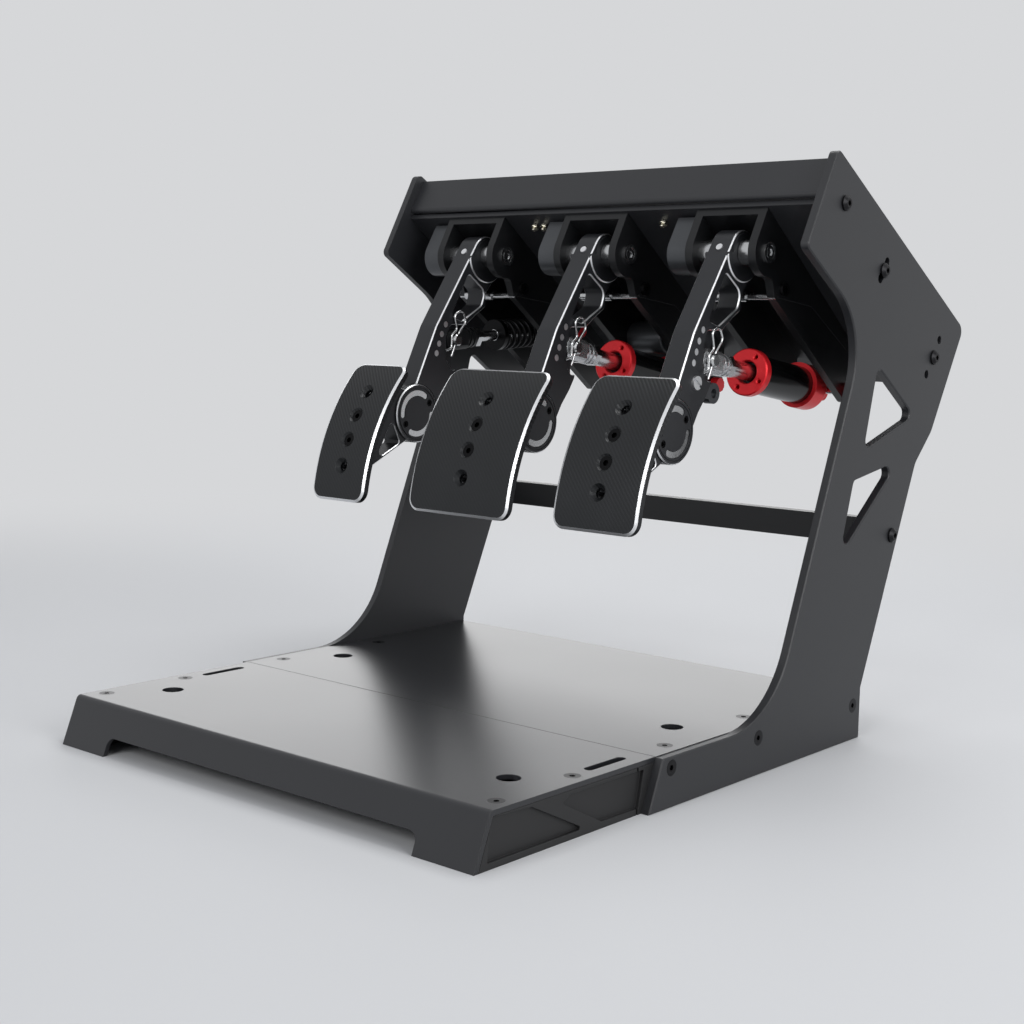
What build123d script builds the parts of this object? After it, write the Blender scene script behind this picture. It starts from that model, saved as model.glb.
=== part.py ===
from build123d import *
from math import acos, atan2, cos, degrees, hypot, pi, radians, sin
import os

# Sim racing pedal set: three hanging pedals under a sloping deck, carried by two side plates,
# with a heel plate in front. Millimetres. X points right, Y away from the driver, Z up.
# The origin is the middle of the footprint, on the floor.

# Whole frame
overall_width = 380
plate_thickness = 6
base_length = 395.7
base_height = 31.6
sheet = 3
nose_reach = 130.5
nose_radius = 8
nose_tuck_share = 0.184
fit_gap = 0.05
seam_gap = 0.4
overrun = 1
seat_taper = 45

# Side plates
foot_reach = 250.5
foot_lean = 12.9
foot_height = 31.2
heel_reach = 117.5
heel_radius = 70
throat_radius = 50
chin_radius = 4
tip_radius = 5
waist_radius = 15
window_radius = 5
heel_offset = 2.7
back_foot_height = 35.3
plate_chamfer = 0.8

# Head of the frame: its own axes start at the lower front edge of the deck
head_setback = 72
head_height = 363
deck_slope = 36.6
deck_length = 200
deck_thickness = 4
deck_inset = 1.5
deck_flange_height = 24
deck_flange_inset = 6
deck_flange_radius = 6

# Base
lip_lean = 12.2
bend_radius = 4
seam_reach = 237.6
rail_width = 22
rail_wall = 4
rail_height = 28.4
cutout_inset = 45
cutout_height = 12
cutout_radius = 6
pocket_depth = 2.5
mount_hole_radius = 7.15
mount_hole_inset = 33.3
front_hole_reach = 330.7
rear_hole_reach = 173.2
slot_length = 36
slot_width = 6
slot_inset = 12.2
slot_reach = 270

# Crossbar behind the feet
crossbar_height = 18.7
crossbar_depth = 10
crossbar_reach = 27
crossbar_rise = 131.3
crossbar_sheet = 2.5
crossbar_screw_share = 0.41

# Pedal units
pitch = 115
pivot_setback = 22.5
pivot_drop = 21.9
bracket_half = 28
bracket_wall = 6
bracket_top = 5
bracket_front = 19.3
bracket_back = 140.8
ear_radius = 16.2
lobe_radius = 8
shaft_radius = 5
bush_radius = 9
hub_top_radius = 15
hub_radius = 20
side_gap = 0.3

# Arms
arm_reach = 138.7
arm_lean = 32.5
arm_half = 8.5
cheek_rise = 1
web_half = 3.7
disc_radius = 21.5
arm_edge = 0.8
lap_x = 2.7
washer_thickness = 1
lug_radius = 7.5
pin_radius = 4.5
pin_setback = 34.7
pin_play = 0.5

# Pads
pad_radius = 158.8
pad_thickness = 5
pad_spine = 8
pad_centre_reach = 10.8
pad_centre_drop = 193.4
pad_first_angle = 134.8
pad_last_angle = 174
spine_first_angle = 139
spine_last_angle = 170
pad_corner = 9
pad_edge = 1
pad_bevel = 1.8
pad_screw_sink = 1.4
pad_hole_radius = 3.25
pad_sink_radius = 6
pad_hole_angles = (144.1, 151.1, 157.9, 164.9)
pad_screw_radius = 3
pad_socket_share = 0.7

# Linkage
fork_half = 8
fork_slot_half = 4
fork_length = 28
fork_slot_depth = 13
fork_block_length = 16
fork_round = 9.4
neck_radius = 7.6
neck_groove_starts = (18.2, 22.6)
neck_groove_width = 1.8
neck_groove_depth = 1
fork_edge = 0.8
nut_thickness = 5
nut_radius = 8
tail_pin_radius = 3
eye_radius = 8

# Each pedal: place from the middle, pad width, pin drop, and the tail pin behind the pivot
pedals = {
    "clutch": {"place": -1, "pad_width": 52, "pin_drop": 63, "tail_reach": 87, "tail_drop": 55},
    "brake": {"place": 0, "pad_width": 89, "pin_drop": 66.2, "tail_reach": 113, "tail_drop": 94},
    "throttle": {"place": 1, "pad_width": 66, "pin_drop": 71.6, "tail_reach": 113, "tail_drop": 94},
}

# Button heads taper from rim to crown
button_crown_share = 0.6
button_rim_share = 0.4

os.makedirs("parts", exist_ok=True)

inner_half = overall_width / 2 - plate_thickness
rear_y = (base_length - nose_reach) / 2 + nose_radius * nose_tuck_share
head_y = rear_y - head_setback
slope_y = cos(radians(deck_slope))
slope_z = sin(radians(deck_slope))


def side_plane(x, y=0, z=0, heading=0):
    """Sketch plane facing +X at (x, y, z), with its own x axis turned up from +Y by heading degrees."""
    across = (0, cos(radians(heading)), sin(radians(heading)))
    return Plane(origin=(x, y, z), x_dir=across, z_dir=(1, 0, 0))


def head_plane(x):
    """Sketch plane facing +X with its x axis along the deck's underside."""
    return side_plane(x, head_y, head_height, -deck_slope)


def head_point(along, up):
    """Y and Z of a place given along the deck and square to it."""
    return (
        head_y + along * slope_y + up * slope_z,
        head_height - along * slope_z + up * slope_y,
    )


def scaled(shares, size):
    """Outline points from shares of one size."""
    return [(size * share_y, size * share_z) for share_y, share_z in shares]


def save(piece, name):
    """Label a finished piece and write it."""
    piece.part.label = name
    export_step(piece.part, f"parts/{name}.step")


def screw_blank(head_radius, head_height, shank_radius, shank_length, socket_radius, sunk):
    """One screw along -Z. A sunk head lies below the face, a button head stands on it."""
    with BuildPart() as blank:
        with BuildSketch(Plane.XZ):
            with BuildLine():
                if sunk:
                    Polyline(
                        (0, 0),
                        (head_radius, 0),
                        (shank_radius, shank_radius - head_radius),
                        (shank_radius, -shank_length),
                        (0, -shank_length),
                        close=True,
                    )
                else:
                    Polyline(
                        (0, head_height),
                        (head_radius * button_crown_share, head_height),
                        (head_radius, head_height * button_rim_share),
                        (head_radius, 0),
                        (shank_radius, 0),
                        (shank_radius, -shank_length),
                        (0, -shank_length),
                        close=True,
                    )
            make_face()
        revolve(axis=Axis.Z)
        top = 0 if sunk else head_height
        with BuildSketch(Plane.XY.offset(top)):
            RegularPolygon(socket_radius, 6)
        extrude(amount=-socket_radius, mode=Mode.SUBTRACT)
    return blank.part


# Screws used more than once
sunk_head_radius = 5
sunk_shank_radius = 2.5
sunk_length = 11
base_screw_length = 5
socket_radius = 1.9
button_head_radius = 5.2
button_head_height = 3
button_shank_radius = 3
button_length = 9.5

sunk_depth = sunk_head_radius - sunk_shank_radius
side_screw = screw_blank(sunk_head_radius, 0, sunk_shank_radius, sunk_length, socket_radius, True)
base_screw = screw_blank(sunk_head_radius, 0, sunk_shank_radius, base_screw_length, socket_radius, True)
button_screw = screw_blank(
    button_head_radius, button_head_height, button_shank_radius, button_length, socket_radius, False
)


# Side plate outline: head points are shares of the deck's length, in the head's own axes
chin_share = (-0.014, -0.191)
tip_share = (-0.066, 0.169)
nose_share = (1.049, 0.287)
waist_top_share = (1.094, -0.145)
waist_bottom_share = (1.068, -0.299)
throat_share = (0.459, -0.156)
upper_window_shares = [(0.612, -0.200), (0.942, -0.179), (0.723, -0.475)]
lower_window_shares = [(0.734, -0.589), (0.956, -0.362), (0.823, -0.840)]
front_bolt_share = (0.081, 0.063)
middle_bolt_share = (0.428, 0.063)
rear_bolt_share = (0.924, 0.063)
spare_hole_shares = [(0.918, 0.137), (0.920, -0.014)]
tilt_slot_half_angle = 6

front_screw_reach = 229.2
middle_screw_reach = 134.1
rear_screw_reach = 13.4
side_screw_height = 24.4
crossbar_screw_reach = crossbar_reach + crossbar_depth / 2
crossbar_screw_rise = crossbar_rise + crossbar_height * crossbar_screw_share


def head_share_point(share):
    """Y and Z of a head point given in shares of the deck's length."""
    return head_point(share[0] * deck_length, share[1] * deck_length)


sunk_screw_points = [
    (rear_y - reach, side_screw_height)
    for reach in (front_screw_reach, middle_screw_reach, rear_screw_reach)
]
deck_bolt_points = [
    head_share_point(share) for share in (front_bolt_share, middle_bolt_share, rear_bolt_share)
]
crossbar_screw_point = (rear_y + crossbar_screw_reach, crossbar_screw_rise)
spare_points = [head_share_point(share) for share in spare_hole_shares]
slot_radius_about_bolt = (middle_bolt_share[0] - front_bolt_share[0]) * deck_length

for side, hand in (("left", -1), ("right", 1)):
    inner_x = hand * inner_half
    with BuildPart() as side_plate:
        with BuildSketch(side_plane(inner_x)):
            with BuildLine():
                FilletPolyline(
                    (rear_y - foot_reach, 0),
                    (rear_y - foot_reach + foot_lean, foot_height),
                    (rear_y - heel_reach, foot_height),
                    head_share_point(throat_share),
                    head_share_point(chin_share),
                    head_share_point(tip_share),
                    head_share_point(nose_share),
                    head_share_point(waist_top_share),
                    head_share_point(waist_bottom_share),
                    (rear_y - heel_offset, back_foot_height),
                    (rear_y - heel_offset, 0),
                    radius=[
                        0,
                        0,
                        heel_radius,
                        throat_radius,
                        chin_radius,
                        tip_radius,
                        nose_radius,
                        waist_radius,
                        waist_radius,
                        0,
                        0,
                    ],
                    close=True,
                )
            make_face()
            for shares in (upper_window_shares, lower_window_shares):
                with BuildLine():
                    FilletPolyline(
                        *[head_share_point(share) for share in shares],
                        radius=[window_radius] * len(shares),
                        close=True,
                    )
                make_face(mode=Mode.SUBTRACT)
        extrude(amount=hand * plate_thickness)
        outer_face = side_plate.faces().sort_by(Axis.X)[-1 if hand > 0 else 0]
        chamfer(outer_face.edges(), plate_chamfer)
        through = 2 * plate_thickness
        with BuildSketch(side_plane(inner_x - hand * overrun)):
            with Locations(deck_bolt_points[0], deck_bolt_points[2], crossbar_screw_point, *spare_points):
                Circle(button_shank_radius + fit_gap)
            with Locations(*sunk_screw_points):
                Circle(sunk_shank_radius + fit_gap)
            arc_start = -deck_slope - tilt_slot_half_angle
            with BuildLine() as tilt_line:
                CenterArc(deck_bolt_points[0], slot_radius_about_bolt, arc_start, 2 * tilt_slot_half_angle)
            SlotArc(tilt_line.edges()[0], 2 * (button_shank_radius + fit_gap))
        extrude(amount=hand * through, mode=Mode.SUBTRACT)
        for point in sunk_screw_points:
            with BuildSketch(side_plane(hand * overall_width / 2, *point)):
                Circle(sunk_head_radius + fit_gap)
            extrude(amount=-hand * sunk_depth, taper=seat_taper, mode=Mode.SUBTRACT)
    save(side_plate, f"side_plate_{side}")


# Base: two bent sheets that meet at a seam, on two side rails
lip_reach = base_length
bend_reach = base_length - lip_lean
lip_slant = sheet * hypot(lip_lean, base_height) / base_height
bend_slant = sheet * (hypot(lip_lean, base_height) - lip_lean) / base_height
front_screw_places = ((10, 367.5), (10.4, 302.5))
rear_screw_places = ((11, 212.5), (15.4, 118.4))
cutout_half = inner_half - cutout_inset


def both_sides(places):
    """Points on the base at (inset from a side plate, reach), left and right."""
    return [(hand * (inner_half - inset), rear_y - reach) for inset, reach in places for hand in (-1, 1)]


def base_holes(hole_reach, screw_places):
    """Sketch of a base sheet's mounting holes and screw holes, just above the sheet."""
    with BuildSketch(Plane.XY.offset(base_height + overrun)) as holes:
        with Locations(*both_sides([(mount_hole_inset, hole_reach)])):
            Circle(mount_hole_radius)
        with Locations(*both_sides(screw_places)):
            Circle(sunk_shank_radius + fit_gap)
    return holes.sketch


def screw_seats(screw_places):
    """Sketch of the sunk screw heads on the base's top face."""
    with BuildSketch(Plane.XY.offset(base_height)) as seats:
        with Locations(*both_sides(screw_places)):
            Circle(sunk_head_radius + fit_gap)
    return seats.sketch


def lip_opening(y):
    """Sketch of the low opening in a folded lip, between its left and right feet."""
    with BuildSketch(Plane(origin=(0, y, 0), x_dir=(1, 0, 0), z_dir=(0, -1, 0))) as opening:
        with BuildLine():
            FilletPolyline(
                (-cutout_half, -overrun),
                (-cutout_half, cutout_height),
                (cutout_half, cutout_height),
                (cutout_half, -overrun),
                radius=[0, cutout_radius, cutout_radius, 0],
                close=True,
            )
        make_face()
    return opening.sketch


with BuildPart() as base_front_plate:
    with BuildSketch(side_plane(-inner_half)):
        with BuildLine():
            FilletPolyline(
                (rear_y - seam_reach - seam_gap / 2, base_height),
                (rear_y - bend_reach, base_height),
                (rear_y - lip_reach, 0),
                (rear_y - lip_reach + lip_slant, 0),
                (rear_y - bend_reach + bend_slant, base_height - sheet),
                (rear_y - seam_reach - seam_gap / 2, base_height - sheet),
                radius=[0, bend_radius, 0, 0, bend_radius - sheet, 0],
                close=True,
            )
        make_face()
    extrude(amount=2 * inner_half)
    extrude(lip_opening(rear_y - lip_reach), amount=lip_lean, both=True, mode=Mode.SUBTRACT)
    extrude(
        base_holes(front_hole_reach, front_screw_places),
        amount=-(sheet + 2 * overrun),
        mode=Mode.SUBTRACT,
    )
    extrude(screw_seats(front_screw_places), amount=-sunk_depth, taper=seat_taper, mode=Mode.SUBTRACT)
    with BuildSketch(Plane.XY.offset(base_height + overrun)):
        with Locations(*both_sides([(slot_inset, slot_reach)])):
            SlotOverall(slot_length, slot_width, rotation=90)
    extrude(amount=-(sheet + 2 * overrun), mode=Mode.SUBTRACT)
save(base_front_plate, "base_front_plate")

with BuildPart() as base_rear_plate:
    with BuildSketch(side_plane(-inner_half)):
        with BuildLine():
            FilletPolyline(
                (rear_y - seam_reach + seam_gap / 2, base_height),
                (rear_y, base_height),
                (rear_y, 0),
                (rear_y - sheet, 0),
                (rear_y - sheet, base_height - sheet),
                (rear_y - seam_reach + seam_gap / 2, base_height - sheet),
                radius=[0, bend_radius, 0, 0, bend_radius - sheet, 0],
                close=True,
            )
        make_face()
    extrude(amount=2 * inner_half)
    extrude(lip_opening(rear_y), amount=lip_lean, both=True, mode=Mode.SUBTRACT)
    extrude(
        base_holes(rear_hole_reach, rear_screw_places),
        amount=-(sheet + 2 * overrun),
        mode=Mode.SUBTRACT,
    )
    extrude(screw_seats(rear_screw_places), amount=-sunk_depth, taper=seat_taper, mode=Mode.SUBTRACT)
save(base_rear_plate, "base_rear_plate")

# Rails: channels open below, with two sunk panels on the outer face ahead of the side plates
rail_lean = lip_lean * rail_height / base_height
rail_front_foot = rear_y - lip_reach + lip_slant + seam_gap
front_panel_shares = [(0.031, 0.99), (0.116, 0.93), (0.222, 0.21), (0.222, 0.13), (0.026, 0.13)]
rear_panel_shares = [(0.180, 0.80), (0.272, 0.14), (0.360, 0.13), (0.372, 0.92), (0.200, 0.92)]
panel_radius = 1
panel_groove_width = 1.5
panel_groove_reach = foot_reach + 4

with BuildPart() as base_rails:
    for hand in (-1, 1):
        outer_x = hand * inner_half
        with BuildSketch(side_plane(outer_x)):
            Polygon(
                (rail_front_foot, 0),
                (rail_front_foot + rail_lean, rail_height),
                (rear_y - sheet - seam_gap, rail_height),
                (rear_y - sheet - seam_gap, 0),
                align=None,
            )
        extrude(amount=-hand * rail_width)
        with BuildSketch(side_plane(outer_x - hand * rail_wall)):
            Polygon(
                (rail_front_foot + rail_lean + rail_wall, -overrun),
                (rail_front_foot + rail_lean + rail_wall, rail_height - rail_wall),
                (rear_y - sheet - seam_gap - rail_wall, rail_height - rail_wall),
                (rear_y - sheet - seam_gap - rail_wall, -overrun),
                align=None,
            )
        extrude(amount=-hand * (rail_width - 2 * rail_wall), mode=Mode.SUBTRACT)
        with BuildSketch(side_plane(outer_x)):
            for shares in (front_panel_shares, rear_panel_shares):
                with BuildLine():
                    FilletPolyline(
                        *[
                            (rear_y - base_length + along * base_length, up * rail_height)
                            for along, up in shares
                        ],
                        radius=[panel_radius] * len(shares),
                        close=True,
                    )
                make_face()
            with Locations((rear_y - panel_groove_reach, rail_height / 2)):
                Rectangle(panel_groove_width, rail_height + overrun)
        extrude(amount=-hand * pocket_depth, mode=Mode.SUBTRACT)
        with BuildSketch(side_plane(outer_x)):
            with Locations(*sunk_screw_points):
                Circle(sunk_shank_radius + fit_gap)
        extrude(amount=-hand * (rail_wall + 2 * overrun), mode=Mode.SUBTRACT)
    with BuildSketch(Plane.XY.offset(rail_height)):
        with Locations(*both_sides([(slot_inset, slot_reach)])):
            SlotOverall(slot_length, slot_width, rotation=90)
        with Locations(*both_sides(front_screw_places + rear_screw_places)):
            Circle(sunk_shank_radius + fit_gap)
    extrude(amount=-(rail_wall + overrun), mode=Mode.SUBTRACT)
save(base_rails, "base_rails")

with BuildPart() as base_screws:
    for half_x, y in both_sides(front_screw_places + rear_screw_places):
        with Locations((half_x, y, base_height)):
            add(base_screw)
save(base_screws, "base_screws")

with BuildPart() as side_screws:
    for hand in (-1, 1):
        for y, z in sunk_screw_points:
            face = Plane(origin=(hand * overall_width / 2, y, z), x_dir=(0, 1, 0), z_dir=(hand, 0, 0))
            with Locations(face):
                add(side_screw)
save(side_screws, "side_screws")

with BuildPart() as frame_bolts:
    for hand in (-1, 1):
        for y, z in [*deck_bolt_points, crossbar_screw_point]:
            face = Plane(origin=(hand * overall_width / 2, y, z), x_dir=(0, 1, 0), z_dir=(hand, 0, 0))
            with Locations(face):
                add(button_screw)
save(frame_bolts, "frame_bolts")

# Deck: one plate with a flange turned up along each side plate
with BuildPart() as deck_plate:
    with BuildSketch(head_plane(-inner_half)):
        with Locations((deck_inset, 0)):
            Rectangle(deck_length - deck_inset, deck_thickness, align=(Align.MIN, Align.MIN))
    extrude(amount=2 * inner_half)
    for hand in (-1, 1):
        with BuildSketch(head_plane(hand * inner_half)):
            with BuildLine():
                FilletPolyline(
                    (deck_flange_inset, 0),
                    (deck_flange_inset, deck_flange_height),
                    (deck_length, deck_flange_height),
                    (deck_length, 0),
                    radius=[0, deck_flange_radius, deck_flange_radius, 0],
                    close=True,
                )
            make_face()
        extrude(amount=-hand * deck_thickness)
    with BuildSketch(side_plane(-inner_half)):
        with Locations(*deck_bolt_points):
            Circle(button_shank_radius + fit_gap)
    extrude(amount=2 * inner_half, mode=Mode.SUBTRACT)
save(deck_plate, "deck_plate")

# Front beam: a bent sheet over the deck's front edge, its upper leg parallel to the head's top edge
beam_foot_share = (-0.013, 0.021)
beam_brow_share = (-0.028, 0.160)
beam_top_length = 58
beam_tilt = degrees(atan2(nose_share[1] - tip_share[1], nose_share[0] - tip_share[0]))
beam_foot = (beam_foot_share[0] * deck_length, beam_foot_share[1] * deck_length)
beam_brow = (beam_brow_share[0] * deck_length, beam_brow_share[1] * deck_length)
beam_top_y = cos(radians(beam_tilt))
beam_top_z = sin(radians(beam_tilt))

with BuildPart() as front_beam:
    with BuildSketch(head_plane(-inner_half)):
        with BuildLine():
            Polyline(
                beam_foot,
                beam_brow,
                (beam_brow[0] + beam_top_length * beam_top_y, beam_brow[1] + beam_top_length * beam_top_z),
                (
                    beam_brow[0] + beam_top_length * beam_top_y + sheet * beam_top_z,
                    beam_brow[1] + beam_top_length * beam_top_z - sheet * beam_top_y,
                ),
                (beam_brow[0] + sheet, beam_brow[1] - sheet),
                (beam_foot[0] + sheet, beam_foot[1]),
                close=True,
            )
        make_face()
    extrude(amount=2 * inner_half)
    brow_edges = front_beam.edges().filter_by(Axis.X).sort_by(Axis.Z)[-3:]
    fillet(brow_edges.sort_by(Axis.Y)[0], bend_radius - overrun)
save(front_beam, "front_beam")

with BuildPart() as rear_crossbar:
    bar_y = rear_y + crossbar_reach
    with BuildSketch(side_plane(-inner_half)):
        with Locations((bar_y, crossbar_rise)):
            Rectangle(crossbar_depth, crossbar_height, align=(Align.MIN, Align.MIN))
    extrude(amount=2 * inner_half)
    with BuildSketch(side_plane(-inner_half + crossbar_sheet)):
        with Locations((bar_y + crossbar_sheet, crossbar_rise + crossbar_sheet)):
            Rectangle(
                crossbar_depth, crossbar_height - 2 * crossbar_sheet, align=(Align.MIN, Align.MIN)
            )
    extrude(amount=2 * (inner_half - crossbar_sheet), mode=Mode.SUBTRACT)
    with BuildSketch(side_plane(-inner_half)):
        with Locations(crossbar_screw_point):
            Circle(button_shank_radius + fit_gap)
    extrude(amount=2 * inner_half, mode=Mode.SUBTRACT)
save(rear_crossbar, "rear_crossbar")

# Pedal units hang on brackets under the deck. Every place in a unit is counted from its pivot.
pivot_y, pivot_z = head_point(pivot_setback, -pivot_drop)
tail_bolt_reach = 19.5
tail_bolt_drop = 24
tail_bolt_radius = 2.5
tail_bolt_head = 4.5
tail_bolt_rise = 2.5
bolt_socket_share = 0.6
stop_reach = 12
stop_drop = 29
stop_rod_radius = 2
stop_sleeve_radius = 3.5
stop_sleeve_end = 5
shaft_head_radius = 7
shaft_head_rise = 1.6
shaft_ring_radius = 5
shaft_socket_radius = 2.5
housing_width = 18
shaft_tail_share = 0.6
housing_shares = [(0.070, 1.512), (-1.389, -0.895), (0.864, -0.895), (1.481, 0.463)]
housing_front_radius = 14
housing_rear_radius = 8
ear_corner_shares = [(-1.685, -1.006), (0.309, -1.006)]
ear_corner_radius = 5
lower_edge_shares = [(0.617, -1.852), (6.914, -6.389), (7.654, -5.988)]
lower_edge_radius = 6
badge_depth = 0.4
badge_shares = [(0.80, -1.82), (3.58, -2.14), (7.02, -4.18), (3.93, -3.70)]
knob_radius = 5.5
knob_length = 6
knob_flat = 0.8
knob_notches = 10

bracket_line_start = head_point(pivot_setback - bracket_front, 0)
bracket_line_end = head_point(pivot_setback + bracket_back, 0)


def unit_plane(x, y=0, z=0, heading=0):
    """Sketch plane facing +X, placed from the pivots."""
    return side_plane(x, pivot_y + y, pivot_z + z, heading)


def from_pivot(point):
    """A head point measured from the pivots."""
    return (point[0] - pivot_y, point[1] - pivot_z)


bracket_outline = [
    from_pivot(bracket_line_start),
    *scaled(ear_corner_shares, ear_radius),
    *scaled(lower_edge_shares, ear_radius),
    from_pivot(bracket_line_end),
]
bracket_radii = [
    0,
    ear_radius,
    ear_corner_radius,
    ear_corner_radius,
    lower_edge_radius,
    lobe_radius,
    0,
]

for name, pedal in pedals.items():
    unit_x = pedal["place"] * pitch
    tail = (pedal["tail_reach"], -pedal["tail_drop"])
    with BuildPart() as bracket:
        with BuildSketch(unit_plane(unit_x - bracket_half)):
            with BuildLine():
                FilletPolyline(*bracket_outline, radius=bracket_radii, close=True)
            make_face()
        extrude(amount=2 * bracket_half)
        gap_half = bracket_half - bracket_wall
        with BuildSketch(unit_plane(unit_x - gap_half, heading=-deck_slope)):
            with Locations((-2 * bracket_front, pivot_drop - bracket_top)):
                Rectangle(2 * deck_length, deck_length, align=(Align.MIN, Align.MAX))
        extrude(amount=2 * gap_half, mode=Mode.SUBTRACT)
        with BuildSketch(unit_plane(unit_x - bracket_half - overrun)):
            Circle(shaft_radius + fit_gap)
            with Locations(tail):
                Circle(tail_pin_radius + fit_gap)
            with Locations((stop_reach, -stop_drop)):
                Circle(stop_rod_radius + fit_gap)
            with Locations((tail_bolt_reach, -tail_bolt_drop)):
                Circle(tail_bolt_radius + fit_gap)
        extrude(amount=2 * (bracket_half + overrun), mode=Mode.SUBTRACT)
        with BuildSketch(unit_plane(unit_x + bracket_half)):
            Polygon(*scaled(badge_shares, ear_radius), align=None)
        extrude(amount=-badge_depth, mode=Mode.SUBTRACT)
    save(bracket, f"{name}_bracket")

# Pieces that the three brackets share, each a group of like solids
unit_places = [pedal["place"] * pitch for pedal in pedals.values()]

shaft_tail = bracket_half + housing_width * shaft_tail_share
with BuildPart() as sensor_housings:
    for unit_x in unit_places:
        with BuildSketch(unit_plane(unit_x - bracket_half - housing_width)):
            with BuildLine():
                FilletPolyline(
                    *scaled(housing_shares, ear_radius),
                    radius=[0, housing_front_radius, housing_rear_radius, 0],
                    close=True,
                )
            make_face()
        extrude(amount=housing_width)
        with BuildSketch(unit_plane(unit_x - bracket_half)):
            Circle(shaft_radius + fit_gap)
        extrude(amount=bracket_half - shaft_tail, mode=Mode.SUBTRACT)
save(sensor_housings, "sensor_housings")

with BuildPart() as pivot_shafts:
    for unit_x in unit_places:
        with BuildSketch(unit_plane(unit_x - shaft_tail)):
            Circle(shaft_radius)
        extrude(amount=shaft_tail + bracket_half)
        with BuildSketch(unit_plane(unit_x + bracket_half)):
            Circle(shaft_head_radius)
        extrude(amount=shaft_head_rise)
        with BuildSketch(unit_plane(unit_x + bracket_half + shaft_head_rise)):
            Circle(shaft_ring_radius)
            Circle(shaft_ring_radius - shaft_head_rise / 2, mode=Mode.SUBTRACT)
            RegularPolygon(shaft_socket_radius, 6)
        extrude(amount=-shaft_head_rise / 2, mode=Mode.SUBTRACT)
save(pivot_shafts, "pivot_shafts")

bush_gap_half = arm_half + cheek_rise + side_gap
with BuildPart() as pivot_bushes:
    for unit_x in unit_places:
        for hand in (-1, 1):
            with BuildSketch(unit_plane(unit_x + hand * bush_gap_half)):
                Circle(bush_radius)
                Circle(shaft_radius + fit_gap, mode=Mode.SUBTRACT)
            extrude(amount=hand * (bracket_half - bracket_wall - bush_gap_half))
save(pivot_bushes, "pivot_bushes")

with BuildPart() as stop_bars:
    for unit_x in unit_places:
        with BuildSketch(unit_plane(unit_x - bracket_half)):
            with Locations((stop_reach, -stop_drop)):
                Circle(stop_rod_radius)
        extrude(amount=2 * bracket_half)
        with BuildSketch(unit_plane(unit_x - bracket_half + bracket_wall)):
            with Locations((stop_reach, -stop_drop)):
                Circle(stop_sleeve_radius)
                Circle(stop_rod_radius + fit_gap, mode=Mode.SUBTRACT)
        extrude(amount=bracket_half - bracket_wall + stop_sleeve_end)
save(stop_bars, "stop_bars")

with BuildPart() as bracket_bolts:
    for unit_x in unit_places:
        with BuildSketch(unit_plane(unit_x + bracket_half)):
            with Locations((tail_bolt_reach, -tail_bolt_drop)):
                Circle(tail_bolt_head)
        extrude(amount=tail_bolt_rise)
        with BuildSketch(unit_plane(unit_x + bracket_half)):
            with Locations((tail_bolt_reach, -tail_bolt_drop)):
                Circle(tail_bolt_radius)
        extrude(amount=-bracket_wall)
        with BuildSketch(unit_plane(unit_x + bracket_half + tail_bolt_rise)):
            with Locations((tail_bolt_reach, -tail_bolt_drop)):
                RegularPolygon(tail_bolt_radius, 6)
        extrude(amount=-tail_bolt_rise * bolt_socket_share, mode=Mode.SUBTRACT)
save(bracket_bolts, "bracket_bolts")

with BuildPart() as tail_pins:
    for name, pedal in pedals.items():
        unit_x = pedal["place"] * pitch
        with BuildSketch(unit_plane(unit_x - bracket_half, pedal["tail_reach"], -pedal["tail_drop"])):
            Circle(tail_pin_radius)
        extrude(amount=2 * bracket_half)
save(tail_pins, "tail_pins")

with BuildPart() as tail_knobs:
    for name, pedal in pedals.items():
        unit_x = pedal["place"] * pitch
        with BuildSketch(unit_plane(unit_x + bracket_half, pedal["tail_reach"], -pedal["tail_drop"])):
            Circle(knob_radius)
            with PolarLocations(knob_radius + knob_flat / 2, knob_notches):
                Circle(knob_flat, mode=Mode.SUBTRACT)
        extrude(amount=knob_length)
save(tail_knobs, "tail_knobs")

load_cell_radius = 12
load_cell_reach = 79
load_cell_drop = 59
load_cell_length = 31.7
load_cell_edge = 2
with BuildPart() as brake_load_cell:
    cell_x = pedals["brake"]["place"] * pitch - bracket_half + bracket_wall
    with BuildSketch(unit_plane(cell_x, load_cell_reach, -load_cell_drop)):
        Circle(load_cell_radius)
    extrude(amount=load_cell_length)
    fillet(brake_load_cell.edges().group_by(Axis.X)[-1], load_cell_edge)
save(brake_load_cell, "brake_load_cell")

# Arms: outlines are shares of the reach from the pivot to the middle of the adjuster disc
disc_y = -arm_reach * sin(radians(arm_lean))
disc_z = -arm_reach * cos(radians(arm_lean))
knee_share = (-0.397, -0.382)
front_foot_share = (-0.552, -0.699)
limb_rear_shares = [
    (-0.395, -0.851),
    (-0.342, -0.764),
    (-0.282, -0.692),
    (-0.240, -0.627),
    (-0.240, -0.562),
    (-0.224, -0.476),
    (-0.191, -0.418),
    (-0.151, -0.368),
    (-0.072, -0.314),
    (-0.002, -0.274),
    (-0.002, -0.202),
    (0.058, -0.132),
]
limb_rear_radii = [0, 0, 8, 8, 10, 0, 0, 5, 6, 3, 3, 0]
knee_radius = 25
window_shares = [(-0.144, -0.101), (-0.011, -0.191), (-0.040, -0.267), (-0.195, -0.353), (-0.278, -0.328)]
window_radii = [2, 7, 6, 3, 3]
bay_shares = [
    (-0.130, -0.374),
    (-0.286, -0.374),
    (-0.315, -0.440),
    (-0.315, -0.560),
    (-0.272, -0.615),
    (-0.120, -0.615),
]
bay_radii = [0, 4, 6, 6, 4, 0]
bay_edge = 0.6
web_hole_shares = [(-0.322, -0.372), (-0.352, -0.424), (-0.372, -0.475), (-0.391, -0.526)]
web_hole_radius = 2.3
web_plug_inset = 0.3
arm_screw_radius = 1.5
arm_screw_head = 2.4
arm_screw_share = 0.09
arm_screw_length = 5
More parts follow.
